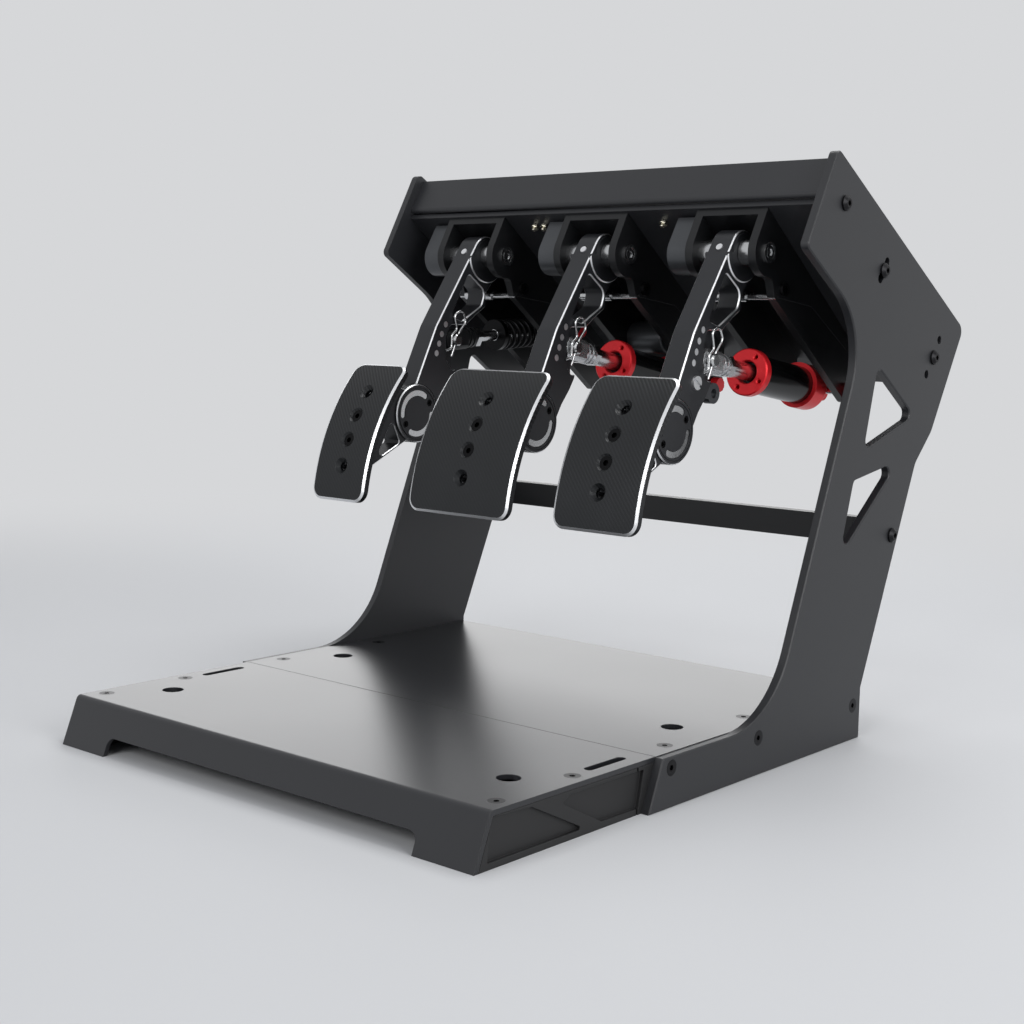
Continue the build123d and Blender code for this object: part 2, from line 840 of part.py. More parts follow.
slot_screw_share = (-0.375, -0.620)
slot_screw_radius = 2.5
slot_screw_head = 4.6
slot_screw_rise = 1.9
slot_cut = 1.9
slot_depth = 1.3
tab_half = 3
tab_front_radius = 5
tab_end_share = (-0.159, -0.676)
tab_end_radius = 7
tab_hole_radius = 3.2

knee = (knee_share[0] * arm_reach, knee_share[1] * arm_reach)
tangent_turn = acos(hub_top_radius / hypot(*knee))
tangent_angle = atan2(knee[1], knee[0]) - tangent_turn
front_tangent = (hub_top_radius * cos(tangent_angle), hub_top_radius * sin(tangent_angle))
front_heading = degrees(atan2(front_tangent[1] - knee[1], front_tangent[0] - knee[0]))

# Adjuster: the arm's disc and the pad bracket's disc lap each other, with a steel washer between
washer_outer_radius = 18.5
washer_inner_radius = 11.5
clamp_screw_radius = 1.6
clamp_screw_head = 2.6
clamp_head_sink = 0.6
clamp_head_height = 1.8
clamp_circle_radius = 14.4
clamp_angles = (31, 211)
arc_slot_radius = 15
arc_slot_width = 4.4
arc_key_play = 0.2
arc_key_sink = 0.5
arc_slots = ((56, 127), (243, 112))
disc_clearance = 0.3
disc_groove_width = 0.8
disc_groove_depth = 0.5
disc_rim = 2.2
disc_rise = 1.8
disc_edge = 0.8
clamp_shank_end = -4

# Pad bracket outline
body_corner_shares = [(-0.606, -0.717), (-0.757, -0.680), (-0.981, -1.164), (-0.577, -0.970)]
body_window_shares = [(-0.714, -0.872), (-0.656, -0.994), (-0.829, -1.074)]
body_window_radius = 2.5
pad_bracket_edge = 0.6
pad_bracket_right = 9
pad_screw_length = 11

# Clips: a straight leg runs through the pin, and a bent leg comes back over its front from a round loop
clip_wire_radius = 0.9
clip_x = 10.2
clip_lean = -25
clip_size = 10
clip_shares = [
    (0.0, -1.35),
    (0.0, 0.62),
    (0.36, 1.70),
    (-0.40, 2.30),
    (-1.02, 1.60),
    (-0.30, 0.72),
    (-0.62, 0.10),
    (-0.22, -0.80),
    (-0.75, -1.22),
]
clip_bend_shares = [0.3, 0.42, 0.42, 0.36, 0.25, 0.3, 0.3]
pin_left = 10
pin_right = 12.8
pin_head_radius = 6
pin_head_thickness = 1.6
pin_tip_edge = 1
arm_screw_rise = 0.8
slot_cut_angle = -35
hub_cheek_radius = 13
cheek_half = arm_half + cheek_rise


def from_pad_centre(radius, angle):
    """A place on a circle about the pad's centre of curvature, measured from the pivot."""
    return (
        pad_centre_reach + radius * cos(radians(angle)),
        -pad_centre_drop + radius * sin(radians(angle)),
    )


def pad_band(inner_radius, outer_radius, first_angle, last_angle):
    """Flat sketch of a band of the pad's curve, measured from the pivot."""
    with BuildSketch() as band:
        with BuildLine():
            middle_angle = (first_angle + last_angle) / 2
            ThreePointArc(
                from_pad_centre(outer_radius, first_angle),
                from_pad_centre(outer_radius, middle_angle),
                from_pad_centre(outer_radius, last_angle),
            )
            Line(from_pad_centre(outer_radius, last_angle), from_pad_centre(inner_radius, last_angle))
            ThreePointArc(
                from_pad_centre(inner_radius, last_angle),
                from_pad_centre(inner_radius, middle_angle),
                from_pad_centre(inner_radius, first_angle),
            )
            Line(from_pad_centre(inner_radius, first_angle), from_pad_centre(outer_radius, first_angle))
        make_face()
    return band.sketch


def pad_hole_plane(x, angle):
    """Plane on the pad's front face, facing the driver's foot."""
    y, z = from_pad_centre(pad_radius, angle)
    facing = (0, cos(radians(angle)), sin(radians(angle)))
    return Plane(origin=(x, pivot_y + y, pivot_z + z), x_dir=(1, 0, 0), z_dir=facing)


clamp_places = [
    (
        disc_y + clamp_circle_radius * cos(radians(angle)),
        disc_z + clamp_circle_radius * sin(radians(angle)),
    )
    for angle in clamp_angles
]


def bay_sketch():
    """Flat sketch of the hollow in the arm's flank that the clevis swings in."""
    with BuildSketch() as bay:
        with BuildLine():
            FilletPolyline(*scaled(bay_shares, arm_reach), radius=bay_radii, close=True)
        make_face()
    return bay.sketch


def arc_slot_sketch(width):
    """Flat sketch of the adjuster's two curved slots, from the middle of its disc."""
    with BuildSketch() as slots:
        for start, sweep_angle in arc_slots:
            with BuildLine() as arc_line:
                CenterArc((0, 0), arc_slot_radius, start, sweep_angle)
            SlotArc(arc_line.edges()[0], width)
    return slots.sketch


def tab_outline(margin):
    """Flat sketch of the throttle's tab, from its screw to its rounded end, grown by margin."""
    with BuildSketch() as outline:
        with BuildLine():
            Line(slot_screw_place, tab_end)
        trace(line_width=2 * (tab_front_radius + margin))
        with Locations(slot_screw_place):
            Circle(tab_front_radius + margin)
        with Locations(tab_end):
            Circle(tab_end_radius + margin)
    return outline.sketch


def arm_screw_plane(x):
    """Plane on the arm's front face near its top, facing the driver."""
    y = front_tangent[0] + (knee[0] - front_tangent[0]) * arm_screw_share
    z = front_tangent[1] + (knee[1] - front_tangent[1]) * arm_screw_share
    facing = (0, -sin(radians(front_heading)), cos(radians(front_heading)))
    return Plane(origin=(x, pivot_y + y, pivot_z + z), x_dir=(1, 0, 0), z_dir=facing)


pad_screw = screw_blank(
    pad_sink_radius - pad_screw_sink - fit_gap,
    0,
    pad_screw_radius,
    pad_screw_length,
    pad_screw_radius * pad_socket_share,
    True,
)
pad_back_radius = pad_radius - pad_thickness
tab_end = (tab_end_share[0] * arm_reach, tab_end_share[1] * arm_reach)
slot_screw_place = (slot_screw_share[0] * arm_reach, slot_screw_share[1] * arm_reach)

for name, pedal in pedals.items():
    unit_x = pedal["place"] * pitch
    pin = (-pin_setback, -pedal["pin_drop"])
    has_tab = name == "throttle"

    with BuildPart() as arm:
        with BuildSketch(unit_plane(unit_x - arm_half)):
            with BuildLine():
                FilletPolyline(
                    front_tangent,
                    knee,
                    (front_foot_share[0] * arm_reach, front_foot_share[1] * arm_reach),
                    (disc_y, disc_z),
                    *scaled(limb_rear_shares, arm_reach),
                    (0, 0),
                    radius=[0, knee_radius, 0, 0, *limb_rear_radii, 0],
                    close=True,
                )
            make_face()
            Circle(hub_top_radius)
            with Locations((disc_y, disc_z)):
                Circle(disc_radius)
            with BuildLine():
                FilletPolyline(*scaled(window_shares, arm_reach), radius=window_radii, close=True)
            make_face(mode=Mode.SUBTRACT)
        extrude(amount=2 * arm_half)
        flanks = arm.faces().sort_by(Axis.X)
        chamfer(flanks[0].edges() + flanks[-1].edges(), arm_edge)
        with BuildSketch(unit_plane(unit_x - cheek_half)):
            Circle(hub_radius)
            Rectangle(2 * hub_radius, hub_radius, align=(Align.CENTER, Align.MIN), mode=Mode.SUBTRACT)
            with Locations(Location((*front_tangent, 0), (0, 0, front_heading))):
                Rectangle(
                    4 * hub_radius, hub_radius, align=(Align.CENTER, Align.MIN), mode=Mode.SUBTRACT
                )
            Circle(hub_cheek_radius)
        extrude(amount=2 * cheek_half)
        cheeks = arm.faces().sort_by(Axis.X)
        rims = (cheeks[0].edges() + cheeks[-1].edges()).filter_by(GeomType.CIRCLE)
        chamfer(rims.filter_by(lambda edge: edge.radius > hub_cheek_radius + arm_edge), arm_edge)
        for hand in (-1, 1):
            with BuildSketch(unit_plane(unit_x + hand * web_half)):
                add(bay_sketch())
            extrude(amount=hand * arm_half, mode=Mode.SUBTRACT)
            with BuildSketch(unit_plane(unit_x + hand * (arm_half - bay_edge))):
                add(bay_sketch())
            extrude(amount=hand * bay_edge, taper=-seat_taper, mode=Mode.SUBTRACT)
        with BuildSketch(unit_plane(unit_x - web_half)):
            with Locations(pin):
                Circle(lug_radius)
        extrude(amount=2 * web_half)
        with BuildSketch(unit_plane(unit_x - cheek_half - overrun)):
            Circle(shaft_radius + fit_gap)
            with Locations(pin):
                Circle(pin_radius + fit_gap)
            with Locations(*scaled(web_hole_shares, arm_reach)):
                Circle(web_hole_radius + fit_gap)
            with Locations(*clamp_places):
                Circle(clamp_screw_radius + fit_gap)
            if has_tab:
                with Locations(slot_screw_place):
                    Circle(slot_screw_radius + fit_gap)
        extrude(amount=2 * (cheek_half + overrun), mode=Mode.SUBTRACT)
        with BuildSketch(unit_plane(unit_x + lap_x)):
            with Locations((disc_y, disc_z)):
                Circle(disc_radius + disc_clearance)
        extrude(amount=2 * arm_half, mode=Mode.SUBTRACT)
        if has_tab:
            with BuildSketch(unit_plane(unit_x - tab_half - fit_gap)):
                add(tab_outline(fit_gap))
            extrude(amount=2 * (tab_half + fit_gap), mode=Mode.SUBTRACT)
        with BuildSketch(arm_screw_plane(unit_x)):
            Circle(arm_screw_radius + fit_gap)
        extrude(amount=-arm_screw_length, mode=Mode.SUBTRACT)
    save(arm, f"{name}_arm")

    with BuildPart() as washer:
        with BuildSketch(unit_plane(unit_x + lap_x)):
            with Locations((disc_y, disc_z)):
                Circle(washer_outer_radius)
                Circle(washer_inner_radius, mode=Mode.SUBTRACT)
            with Locations(*clamp_places):
                Circle(clamp_screw_radius + fit_gap, mode=Mode.SUBTRACT)
        extrude(amount=washer_thickness)
        with BuildSketch(unit_plane(unit_x + lap_x, disc_y, disc_z)):
            add(arc_slot_sketch(arc_slot_width - 2 * arc_key_play))
        extrude(amount=pad_bracket_right - arc_key_sink - lap_x)
    save(washer, f"{name}_adjuster_washer")

    with BuildPart() as pad_bracket:
        with BuildSketch(unit_plane(unit_x - arm_half)):
            add(pad_band(pad_back_radius - pad_spine, pad_back_radius, spine_first_angle, spine_last_angle))
            Polygon(*scaled(body_corner_shares, arm_reach), align=None)
            with Locations((disc_y, disc_z)):
                Circle(disc_radius)
            with BuildLine():
                FilletPolyline(
                    *scaled(body_window_shares, arm_reach),
                    radius=[body_window_radius] * len(body_window_shares),
                    close=True,
                )
            make_face(mode=Mode.SUBTRACT)
        extrude(amount=arm_half + pad_bracket_right - disc_rise)
        flanks = pad_bracket.faces().sort_by(Axis.X)
        chamfer(flanks[0].edges() + flanks[-1].edges(), pad_bracket_edge)
        with BuildSketch(unit_plane(unit_x + lap_x + washer_thickness, disc_y, disc_z)):
            Circle(disc_radius)
        extrude(amount=pad_bracket_right - lap_x - washer_thickness)
        chamfer(pad_bracket.faces().sort_by(Axis.X)[-1].edges(), disc_edge)
        with BuildSketch(unit_plane(unit_x + lap_x + washer_thickness)):
            with Locations((disc_y, disc_z)):
                Circle(disc_radius + disc_clearance)
        extrude(amount=-2 * arm_half, mode=Mode.SUBTRACT)
        with BuildSketch(unit_plane(unit_x + pad_bracket_right, disc_y, disc_z)):
            Circle(disc_radius - disc_rim)
            Circle(disc_radius - disc_rim - disc_groove_width, mode=Mode.SUBTRACT)
        extrude(amount=-disc_groove_depth, mode=Mode.SUBTRACT)
        with BuildSketch(unit_plane(unit_x + pad_bracket_right + overrun)):
            with Locations((disc_y, disc_z)):
                add(arc_slot_sketch(arc_slot_width))
            with Locations(*clamp_places):
                Circle(clamp_screw_radius + fit_gap)
        extrude(amount=-(pad_bracket_right + overrun - lap_x), mode=Mode.SUBTRACT)
        with BuildSketch(unit_plane(unit_x + pad_bracket_right)):
            with Locations(*clamp_places):
                Circle(clamp_screw_head + fit_gap)
        extrude(amount=-(clamp_head_sink + clamp_head_height), mode=Mode.SUBTRACT)
        for angle in pad_hole_angles:
            with BuildSketch(pad_hole_plane(unit_x, angle)):
                Circle(pad_screw_radius + fit_gap)
            extrude(amount=-(pad_thickness + pad_spine + overrun), mode=Mode.SUBTRACT)
    save(pad_bracket, f"{name}_pad_bracket")

    with BuildPart() as pad:
        half_width = pedal["pad_width"] / 2
        with BuildSketch(unit_plane(unit_x - half_width)):
            add(pad_band(pad_back_radius, pad_radius, pad_first_angle, pad_last_angle))
        extrude(amount=pedal["pad_width"])
        end_faces = pad.faces().filter_by(GeomType.PLANE)
        short_edges = end_faces.edges().filter_by(GeomType.LINE)
        fillet(short_edges.filter_by(lambda edge: edge.length < pad_corner), pad_corner)
        front_face = pad.faces().sort_by(SortBy.AREA)[-1]
        chamfer(front_face.edges(), pad_bevel, pad_edge, reference=front_face)
        for angle in pad_hole_angles:
            with Locations(pad_hole_plane(unit_x, angle)):
                CounterSinkHole(
                    radius=pad_hole_radius,
                    counter_sink_radius=pad_sink_radius,
                    counter_sink_angle=90,
                    depth=pad_thickness + overrun,
                )
    save(pad, f"{name}_pad")

    with BuildPart() as arm_screws:
        for angle in pad_hole_angles[1:3]:
            with Locations(pad_hole_plane(unit_x, angle).offset(-pad_screw_sink)):
                add(pad_screw)
        clamp_top = pad_bracket_right - clamp_head_sink
        with BuildSketch(unit_plane(unit_x + clamp_top)):
            with Locations(*clamp_places):
                Circle(clamp_screw_head)
        extrude(amount=-clamp_head_height)
        with BuildSketch(unit_plane(unit_x + clamp_top - clamp_head_height)):
            with Locations(*clamp_places):
                Circle(clamp_screw_radius)
        extrude(amount=clamp_shank_end + clamp_head_height - clamp_top)
        with BuildSketch(unit_plane(unit_x + clamp_top)):
            with Locations(*clamp_places):
                RegularPolygon(clamp_screw_radius, 6)
        extrude(amount=-clamp_head_height / 2, mode=Mode.SUBTRACT)
        for hand in (-1, 1):
            with BuildSketch(unit_plane(unit_x)):
                with Locations(*scaled(web_hole_shares, arm_reach)):
                    Circle(web_hole_radius)
            extrude(amount=hand * (arm_half - web_plug_inset))
        with BuildSketch(arm_screw_plane(unit_x)):
            Circle(arm_screw_head)
        extrude(amount=arm_screw_rise)
        with BuildSketch(arm_screw_plane(unit_x)):
            Circle(arm_screw_radius)
        extrude(amount=-arm_screw_length)
        if has_tab:
            screw_seat = unit_x + arm_half
            with BuildSketch(unit_plane(screw_seat)):
                with Locations(slot_screw_place):
                    Circle(slot_screw_head)
            extrude(amount=slot_screw_rise)
            with BuildSketch(unit_plane(screw_seat)):
                with Locations(slot_screw_place):
                    Circle(slot_screw_radius)
            extrude(amount=-(arm_half + tab_half))
            with BuildSketch(unit_plane(screw_seat + slot_screw_rise)):
                with Locations(slot_screw_place):
                    Rectangle(2 * slot_screw_head, slot_cut, rotation=slot_cut_angle)
            extrude(amount=-slot_depth, mode=Mode.SUBTRACT)
    save(arm_screws, f"{name}_arm_screws")

    with BuildPart() as clevis_pin:
        with BuildSketch(unit_plane(unit_x - pin_left, *pin)):
            Circle(pin_radius)
        extrude(amount=pin_left + pin_right)
        with BuildSketch(unit_plane(unit_x - pin_left, *pin)):
            Circle(pin_head_radius)
        extrude(amount=pin_head_thickness)
        chamfer(clevis_pin.edges().group_by(Axis.X)[-1], pin_tip_edge)
        clip_plane = unit_plane(unit_x + clip_x, *pin, clip_lean)
        with BuildSketch(Plane(origin=clip_plane.origin, z_dir=clip_plane.y_dir)):
            Circle(clip_wire_radius + fit_gap)
        extrude(amount=pin_head_radius, both=True, mode=Mode.SUBTRACT)
    save(clevis_pin, f"{name}_clevis_pin")

    with BuildPart() as clip:
        with BuildLine(clip_plane) as clip_line:
            FilletPolyline(
                *scaled(clip_shares, clip_size), radius=[share * clip_size for share in clip_bend_shares]
            )
        with BuildSketch(Plane(origin=clip_line.line @ 0, z_dir=clip_line.line % 0)):
            Circle(clip_wire_radius)
        sweep(path=clip_line.line)
    save(clip, f"{name}_clip")

    if has_tab:
        with BuildPart() as stop_tab:
            with BuildSketch(unit_plane(unit_x - tab_half)):
                add(tab_outline(0))
                with Locations(tab_end):
                    Circle(tab_hole_radius, mode=Mode.SUBTRACT)
                with Locations(slot_screw_place):
                    Circle(slot_screw_radius + fit_gap, mode=Mode.SUBTRACT)
            extrude(amount=2 * tab_half)
        save(stop_tab, f"{name}_tab")

# Linkage: each pin pushes a fork and rod into a damper that swings on the bracket's tail pin.
# Places along a link are counted from the clevis pin towards the tail pin.
rod_radius = 6
rod_start = fork_slot_depth + 2
rod_end = 100
piston_length = 6
flange_start = 57
flange_thickness = 6
flange_radius = 16.5
flange_bore = 7.8
flange_holes = 4
flange_hole_circle = 12.2
flange_hole_radius = 1.3
flange_hole_turn = 30
flange_edge = 0.8
tube_radius = 13.5
tube_bore = 10.5
tube_end = 125
gland_length = 5
collar_end = 141
collar_edge = 2
piston_play = 0.08

clutch_rod_radius = 4
clutch_rod_end = 95
spring_radius = 12
spring_wire_radius = 1.5
spring_turns = 6
front_seat_start = 54
rear_seat_start = 100
seat_thickness = 4
guide_radius = 7
guide_bore_end = 116
quarter_turns_each = 4


class Link:
    """The line from a pedal's clevis pin to its tail pin, and planes along it."""

    def __init__(self, pedal):
        self.x = pedal["place"] * pitch
        self.y = -pin_setback
        self.z = -pedal["pin_drop"]
        rise = self.z + pedal["tail_drop"]
        run = pedal["tail_reach"] - self.y
        self.length = hypot(run, -rise)
        self.heading = degrees(atan2(-pedal["tail_drop"] - self.z, run))

    def side(self, x):
        """Plane facing +X with its x axis along the link."""
        return unit_plane(self.x + x, self.y, self.z, self.heading)

    def across(self, along):
        """Plane square to the link, facing the tail pin."""
        turn = radians(self.heading)
        y = pivot_y + self.y + along * cos(turn)
        z = pivot_z + self.z + along * sin(turn)
        return Plane(origin=(self.x, y, z), x_dir=(1, 0, 0), z_dir=(0, cos(turn), sin(turn)))


def ring(plane, outer_radius, inner_radius):
    """Sketch of a flat ring, or of a disc where the inner radius is zero."""
    with BuildSketch(plane) as flat_ring:
        Circle(outer_radius)
        if inner_radius > 0:
            Circle(inner_radius, mode=Mode.SUBTRACT)
    return flat_ring.sketch


def nut_sketch(plane, bore):
    """Sketch of a lock nut on a rod."""
    with BuildSketch(plane) as nut:
        RegularPolygon(nut_radius, 6)
        Circle(bore, mode=Mode.SUBTRACT)
    return nut.sketch


for name, pedal in pedals.items():
    link = Link(pedal)
    is_clutch = name == "clutch"
    this_rod = clutch_rod_radius if is_clutch else rod_radius

    with BuildPart() as clevis:
        with BuildSketch(link.side(-fork_half)):
            Circle(fork_half)
            Rectangle(fork_block_length, 2 * fork_half, align=(Align.MIN, Align.CENTER))
        extrude(amount=2 * fork_half)
        extrude(
            ring(link.across(-fork_half - overrun), fork_round, 0),
            amount=fork_half + fork_block_length + 2 * overrun,
            mode=Mode.INTERSECT,
        )
        extrude(
            ring(link.across(fork_block_length), neck_radius, 0),
            amount=fork_length - fork_block_length,
        )
        for groove_start in neck_groove_starts:
            extrude(
                ring(link.across(groove_start), neck_radius + overrun, neck_radius - neck_groove_depth),
                amount=neck_groove_width,
                mode=Mode.SUBTRACT,
            )
        with BuildSketch(link.side(-fork_slot_half)):
            with Locations((-fork_half - overrun, 0)):
                Rectangle(
                    fork_half + overrun + fork_slot_depth,
                    2 * (fork_half + overrun),
                    align=(Align.MIN, Align.CENTER),
                )
        extrude(amount=2 * fork_slot_half, mode=Mode.SUBTRACT)
        with BuildSketch(link.side(-fork_half - overrun)):
            Circle(pin_radius + pin_play)
        extrude(amount=2 * (fork_half + overrun), mode=Mode.SUBTRACT)
        extrude(
            ring(link.across(fork_length + overrun), this_rod + fit_gap, 0),
            amount=-(fork_length + 2 * overrun - fork_slot_depth),
            mode=Mode.SUBTRACT,
        )
        neck_ends = clevis.edges().filter_by(GeomType.CIRCLE).filter_by(lambda edge: edge.radius == neck_radius)
        chamfer(neck_ends.sort_by(Axis.Y)[-1], fork_edge)
    save(clevis, f"{name}_clevis")

    if is_clutch:
        continue

    with BuildPart() as rod:
        extrude(ring(link.across(rod_start), this_rod, 0), amount=rod_end - rod_start)
        extrude(
            ring(link.across(rod_end), tube_bore - piston_play, 0),
            amount=-piston_length,
        )
        extrude(
            nut_sketch(link.across(fork_length), this_rod + fit_gap),
            amount=nut_thickness,
        )
    save(rod, f"{name}_rod")

    with BuildPart() as damper_flange:
        extrude(ring(link.across(flange_start), flange_radius, flange_bore), amount=flange_thickness)
        with BuildSketch(link.across(flange_start)):
            with PolarLocations(flange_hole_circle, flange_holes, flange_hole_turn):
                Circle(flange_hole_radius)
        extrude(amount=flange_thickness, mode=Mode.SUBTRACT)
        chamfer(damper_flange.faces().sort_by(Axis.Y)[0].edges(), flange_edge)
    save(damper_flange, f"{name}_damper_flange")

    with BuildPart() as damper_tube:
        tube_start = flange_start + flange_thickness
        extrude(ring(link.across(tube_start), tube_radius, rod_radius + piston_play), amount=gland_length)
        extrude(
            ring(link.across(tube_start + gland_length), tube_radius, tube_bore),
            amount=tube_end - tube_start - gland_length,
        )
    save(damper_tube, f"{name}_damper_tube")

    with BuildPart() as damper_collar:
        extrude(ring(link.across(tube_end), flange_radius, 0), amount=collar_end - tube_end)
        fillet(damper_collar.edges().filter_by(GeomType.CIRCLE).sort_by(Axis.Y)[-1], collar_edge)
        with BuildSketch(link.side(-eye_radius)):
            with Locations((collar_end, 0)):
                Rectangle(link.length - collar_end, 2 * eye_radius, align=(Align.MIN, Align.CENTER))
            with Locations((link.length, 0)):
                Circle(eye_radius)
        extrude(amount=2 * eye_radius)
        with BuildSketch(link.side(-eye_radius - overrun)):
            with Locations((link.length, 0)):
                Circle(tail_pin_radius + fit_gap)
        extrude(amount=2 * (eye_radius + overrun), mode=Mode.SUBTRACT)
    save(damper_collar, f"{name}_damper_collar")

# Clutch: a spring between two seats in place of the damper
clutch_link = Link(pedals["clutch"])
with BuildPart() as clutch_rod:
    extrude(ring(clutch_link.across(rod_start), clutch_rod_radius, 0), amount=clutch_rod_end - rod_start)
    extrude(
        nut_sketch(clutch_link.across(fork_length), clutch_rod_radius + fit_gap),
        amount=nut_thickness,
    )
    extrude(
        ring(clutch_link.across(front_seat_start), spring_radius, clutch_rod_radius + fit_gap),
        amount=seat_thickness,
    )
save(clutch_rod, "clutch_rod")

with BuildPart() as clutch_guide:
    extrude(ring(clutch_link.across(rear_seat_start), spring_radius, 0), amount=seat_thickness)
    extrude(
        ring(clutch_link.across(rear_seat_start + seat_thickness), guide_radius, 0),
        amount=clutch_link.length - rear_seat_start - seat_thickness - tail_pin_radius,
    )
    with BuildSketch(clutch_link.side(-eye_radius)):
        with Locations((clutch_link.length, 0)):
            Circle(eye_radius)
    extrude(amount=2 * eye_radius)
    with BuildSketch(clutch_link.side(-eye_radius - overrun)):
        with Locations((clutch_link.length, 0)):
            Circle(tail_pin_radius + fit_gap)
    extrude(amount=2 * (eye_radius + overrun), mode=Mode.SUBTRACT)
    extrude(
        ring(clutch_link.across(rear_seat_start - overrun), clutch_rod_radius + piston_play, 0),
        amount=guide_bore_end - rear_seat_start + overrun,
        mode=Mode.SUBTRACT,
    )
save(clutch_guide, "clutch_guide")

spring_start = front_seat_start + seat_thickness + spring_wire_radius + side_gap
spring_rise = rear_seat_start - spring_wire_radius - side_gap - spring_start
coil_radius = spring_radius - spring_wire_radius


spring_plane = clutch_link.across(spring_start)


def coil_point(turn):
    """Place on the spring's centre line after so many turns."""
    return (
        spring_plane.origin
        + spring_plane.x_dir * coil_radius * cos(turn * 2 * pi)
        + spring_plane.y_dir * coil_radius * sin(turn * 2 * pi)
        + spring_plane.z_dir * (spring_rise * turn / spring_turns)
    )


def coil_heading(turn):
    """Direction of the spring's wire after so many turns."""
    climb = spring_rise / (spring_turns * 2 * pi * coil_radius)
    heading = (
        spring_plane.x_dir * -sin(turn * 2 * pi)
        + spring_plane.y_dir * cos(turn * 2 * pi)
        + spring_plane.z_dir * climb
    )
    return heading.normalized()


with BuildPart() as clutch_spring:
    with BuildLine() as coil_line:
        for step in range(spring_turns * quarter_turns_each):
            first = step / quarter_turns_each
            last = (step + 1) / quarter_turns_each
            start, end = coil_point(first), coil_point(last)
            leave, arrive = coil_heading(first), coil_heading(last)
            chord = end - start
            spread = 2 * (1 - leave.dot(arrive))
            lean = chord.dot(leave + arrive)
            reach = ((lean**2 + spread * chord.dot(chord)) ** 0.5 - lean) / spread
            joint_point = (start + end + (leave - arrive) * reach) * 0.5
            joint_heading = end - arrive * reach - start - leave * reach
            TangentArc(start, joint_point, tangent=leave)
            TangentArc(joint_point, end, tangent=joint_heading)
    with BuildSketch(Plane(origin=coil_line.wire() @ 0, z_dir=coil_line.wire() % 0)):
        Circle(spring_wire_radius)
    sweep(path=coil_line.wire())
save(clutch_spring, "clutch_spring")

coil_samples = [coil_point(step / 72) for step in range(spring_turns * 72 + 1)]
coil_gap = min(
    (first - second).length - 2 * spring_wire_radius
    for index, first in enumerate(coil_samples)
    for second in coil_samples[index + 36 :]
)
print("least gap between the spring's turns", round(coil_gap, 2))
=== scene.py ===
import math

import bmesh
import bpy
from mathutils import Matrix, Vector


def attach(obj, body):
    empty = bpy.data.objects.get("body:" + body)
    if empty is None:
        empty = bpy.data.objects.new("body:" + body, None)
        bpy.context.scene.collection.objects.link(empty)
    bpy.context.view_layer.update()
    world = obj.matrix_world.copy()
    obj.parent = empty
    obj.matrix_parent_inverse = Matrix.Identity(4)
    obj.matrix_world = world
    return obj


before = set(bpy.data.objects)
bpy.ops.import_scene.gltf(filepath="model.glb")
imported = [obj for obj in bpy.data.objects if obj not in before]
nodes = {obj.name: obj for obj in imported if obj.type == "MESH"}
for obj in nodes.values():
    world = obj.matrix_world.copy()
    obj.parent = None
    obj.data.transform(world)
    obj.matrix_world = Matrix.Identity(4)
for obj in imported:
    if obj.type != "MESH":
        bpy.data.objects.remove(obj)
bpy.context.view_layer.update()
millimetre = 0.001
pedalPlaces = {"clutch": -0.115, "brake": 0.0, "throttle": 0.115}  # where each pedal stands across the frame


def toLinear(code):
    channels = [int(code[place:place + 2], 16) / 255 for place in (1, 3, 5)]
    return tuple(part / 12.92 if part <= 0.04045 else ((part + 0.055) / 1.055) ** 2.4 for part in channels) + (1.0,)


def addNode(tree, kind, sockets, **settings):
    # one shader node, its settings, and what goes into each socket, by name or number (a Mix node's colours are 6 and 7)
    node = tree.nodes.new("ShaderNode" + kind)
    for name, value in settings.items():
        setattr(node, name, value)
    for name, value in sockets.items():
        if isinstance(value, bpy.types.NodeSocket):
            tree.links.new(value, node.inputs[name])
        else:
            node.inputs[name].default_value = value
    return node


# camera, at the photograph's place

view = {
    "place": (0.717845, -0.857206, 0.285814),
    "turn": 40.690,  # degrees to the left of straight ahead
    "dip": 6.879,
    "roll": 0.998,
    "lens": 56.480,  # mm, as the sensor's width is
    "sensor": 36.0,
    "nearest": 0.05,
}


def makeCamera():
    turn, dip, roll = (math.radians(view[name]) for name in ("turn", "dip", "roll"))
    ahead = Vector((-math.sin(turn) * math.cos(dip), math.cos(turn) * math.cos(dip), -math.sin(dip)))
    level = Vector((math.cos(turn), math.sin(turn), 0.0))
    upright = level.cross(ahead)
    right = math.cos(roll) * level + math.sin(roll) * upright
    up = math.cos(roll) * upright - math.sin(roll) * level
    camera = bpy.data.objects.new("photoCamera", bpy.data.cameras.new("photoCamera"))
    camera.data.lens = view["lens"]
    camera.data.sensor_width = view["sensor"]
    camera.data.clip_start = view["nearest"]
    camera.matrix_world = Matrix((right, up, -ahead)).transposed().to_4x4()
    camera.location = view["place"]
    bpy.context.collection.objects.link(camera)
    bpy.context.scene.camera = camera


makeCamera()
print("camera placed")

# floor, backdrop light and lamps

studio = {
    "floor": "#cfd0d2",
    "floorReach": 9.0,
    "floorRoughness": 0.7,
    "fibre": 4 * millimetre,  # the paper's tooth
    "fibreDepth": 0.1 * millimetre,
    "fibreStrength": 0.05,
    "floorFade": (0.55, 1.5),  # metres from the middle, where the paper turns into the backdrop
    "backdrop": "#d6d7d9",
    "backdropStrength": 1.0,  # as written
    "roomLight": "#dfe3ea",
    "roomStrength": 0.34,
    "lamps": {  # place, aim, width, height, watts
        "topSoftbox": ((0.1, 0.7, 1.8), (0.0, 0.0, 0.1), 1.5, 0.9, 18.0),
        "rightSoftbox": ((1.9, -0.3, 0.9), (0.1, 0.0, 0.2), 1.0, 1.2, 17.0),
        "frontSoftbox": ((0.2, -2.2, 1.3), (0.0, 0.0, 0.25), 1.4, 1.0, 21.0),
        "sheenSoftbox": ((-1.35, 1.6, 0.62), (0.0, -0.1, 0.0), 2.2, 0.8, 9.5),
    },
}


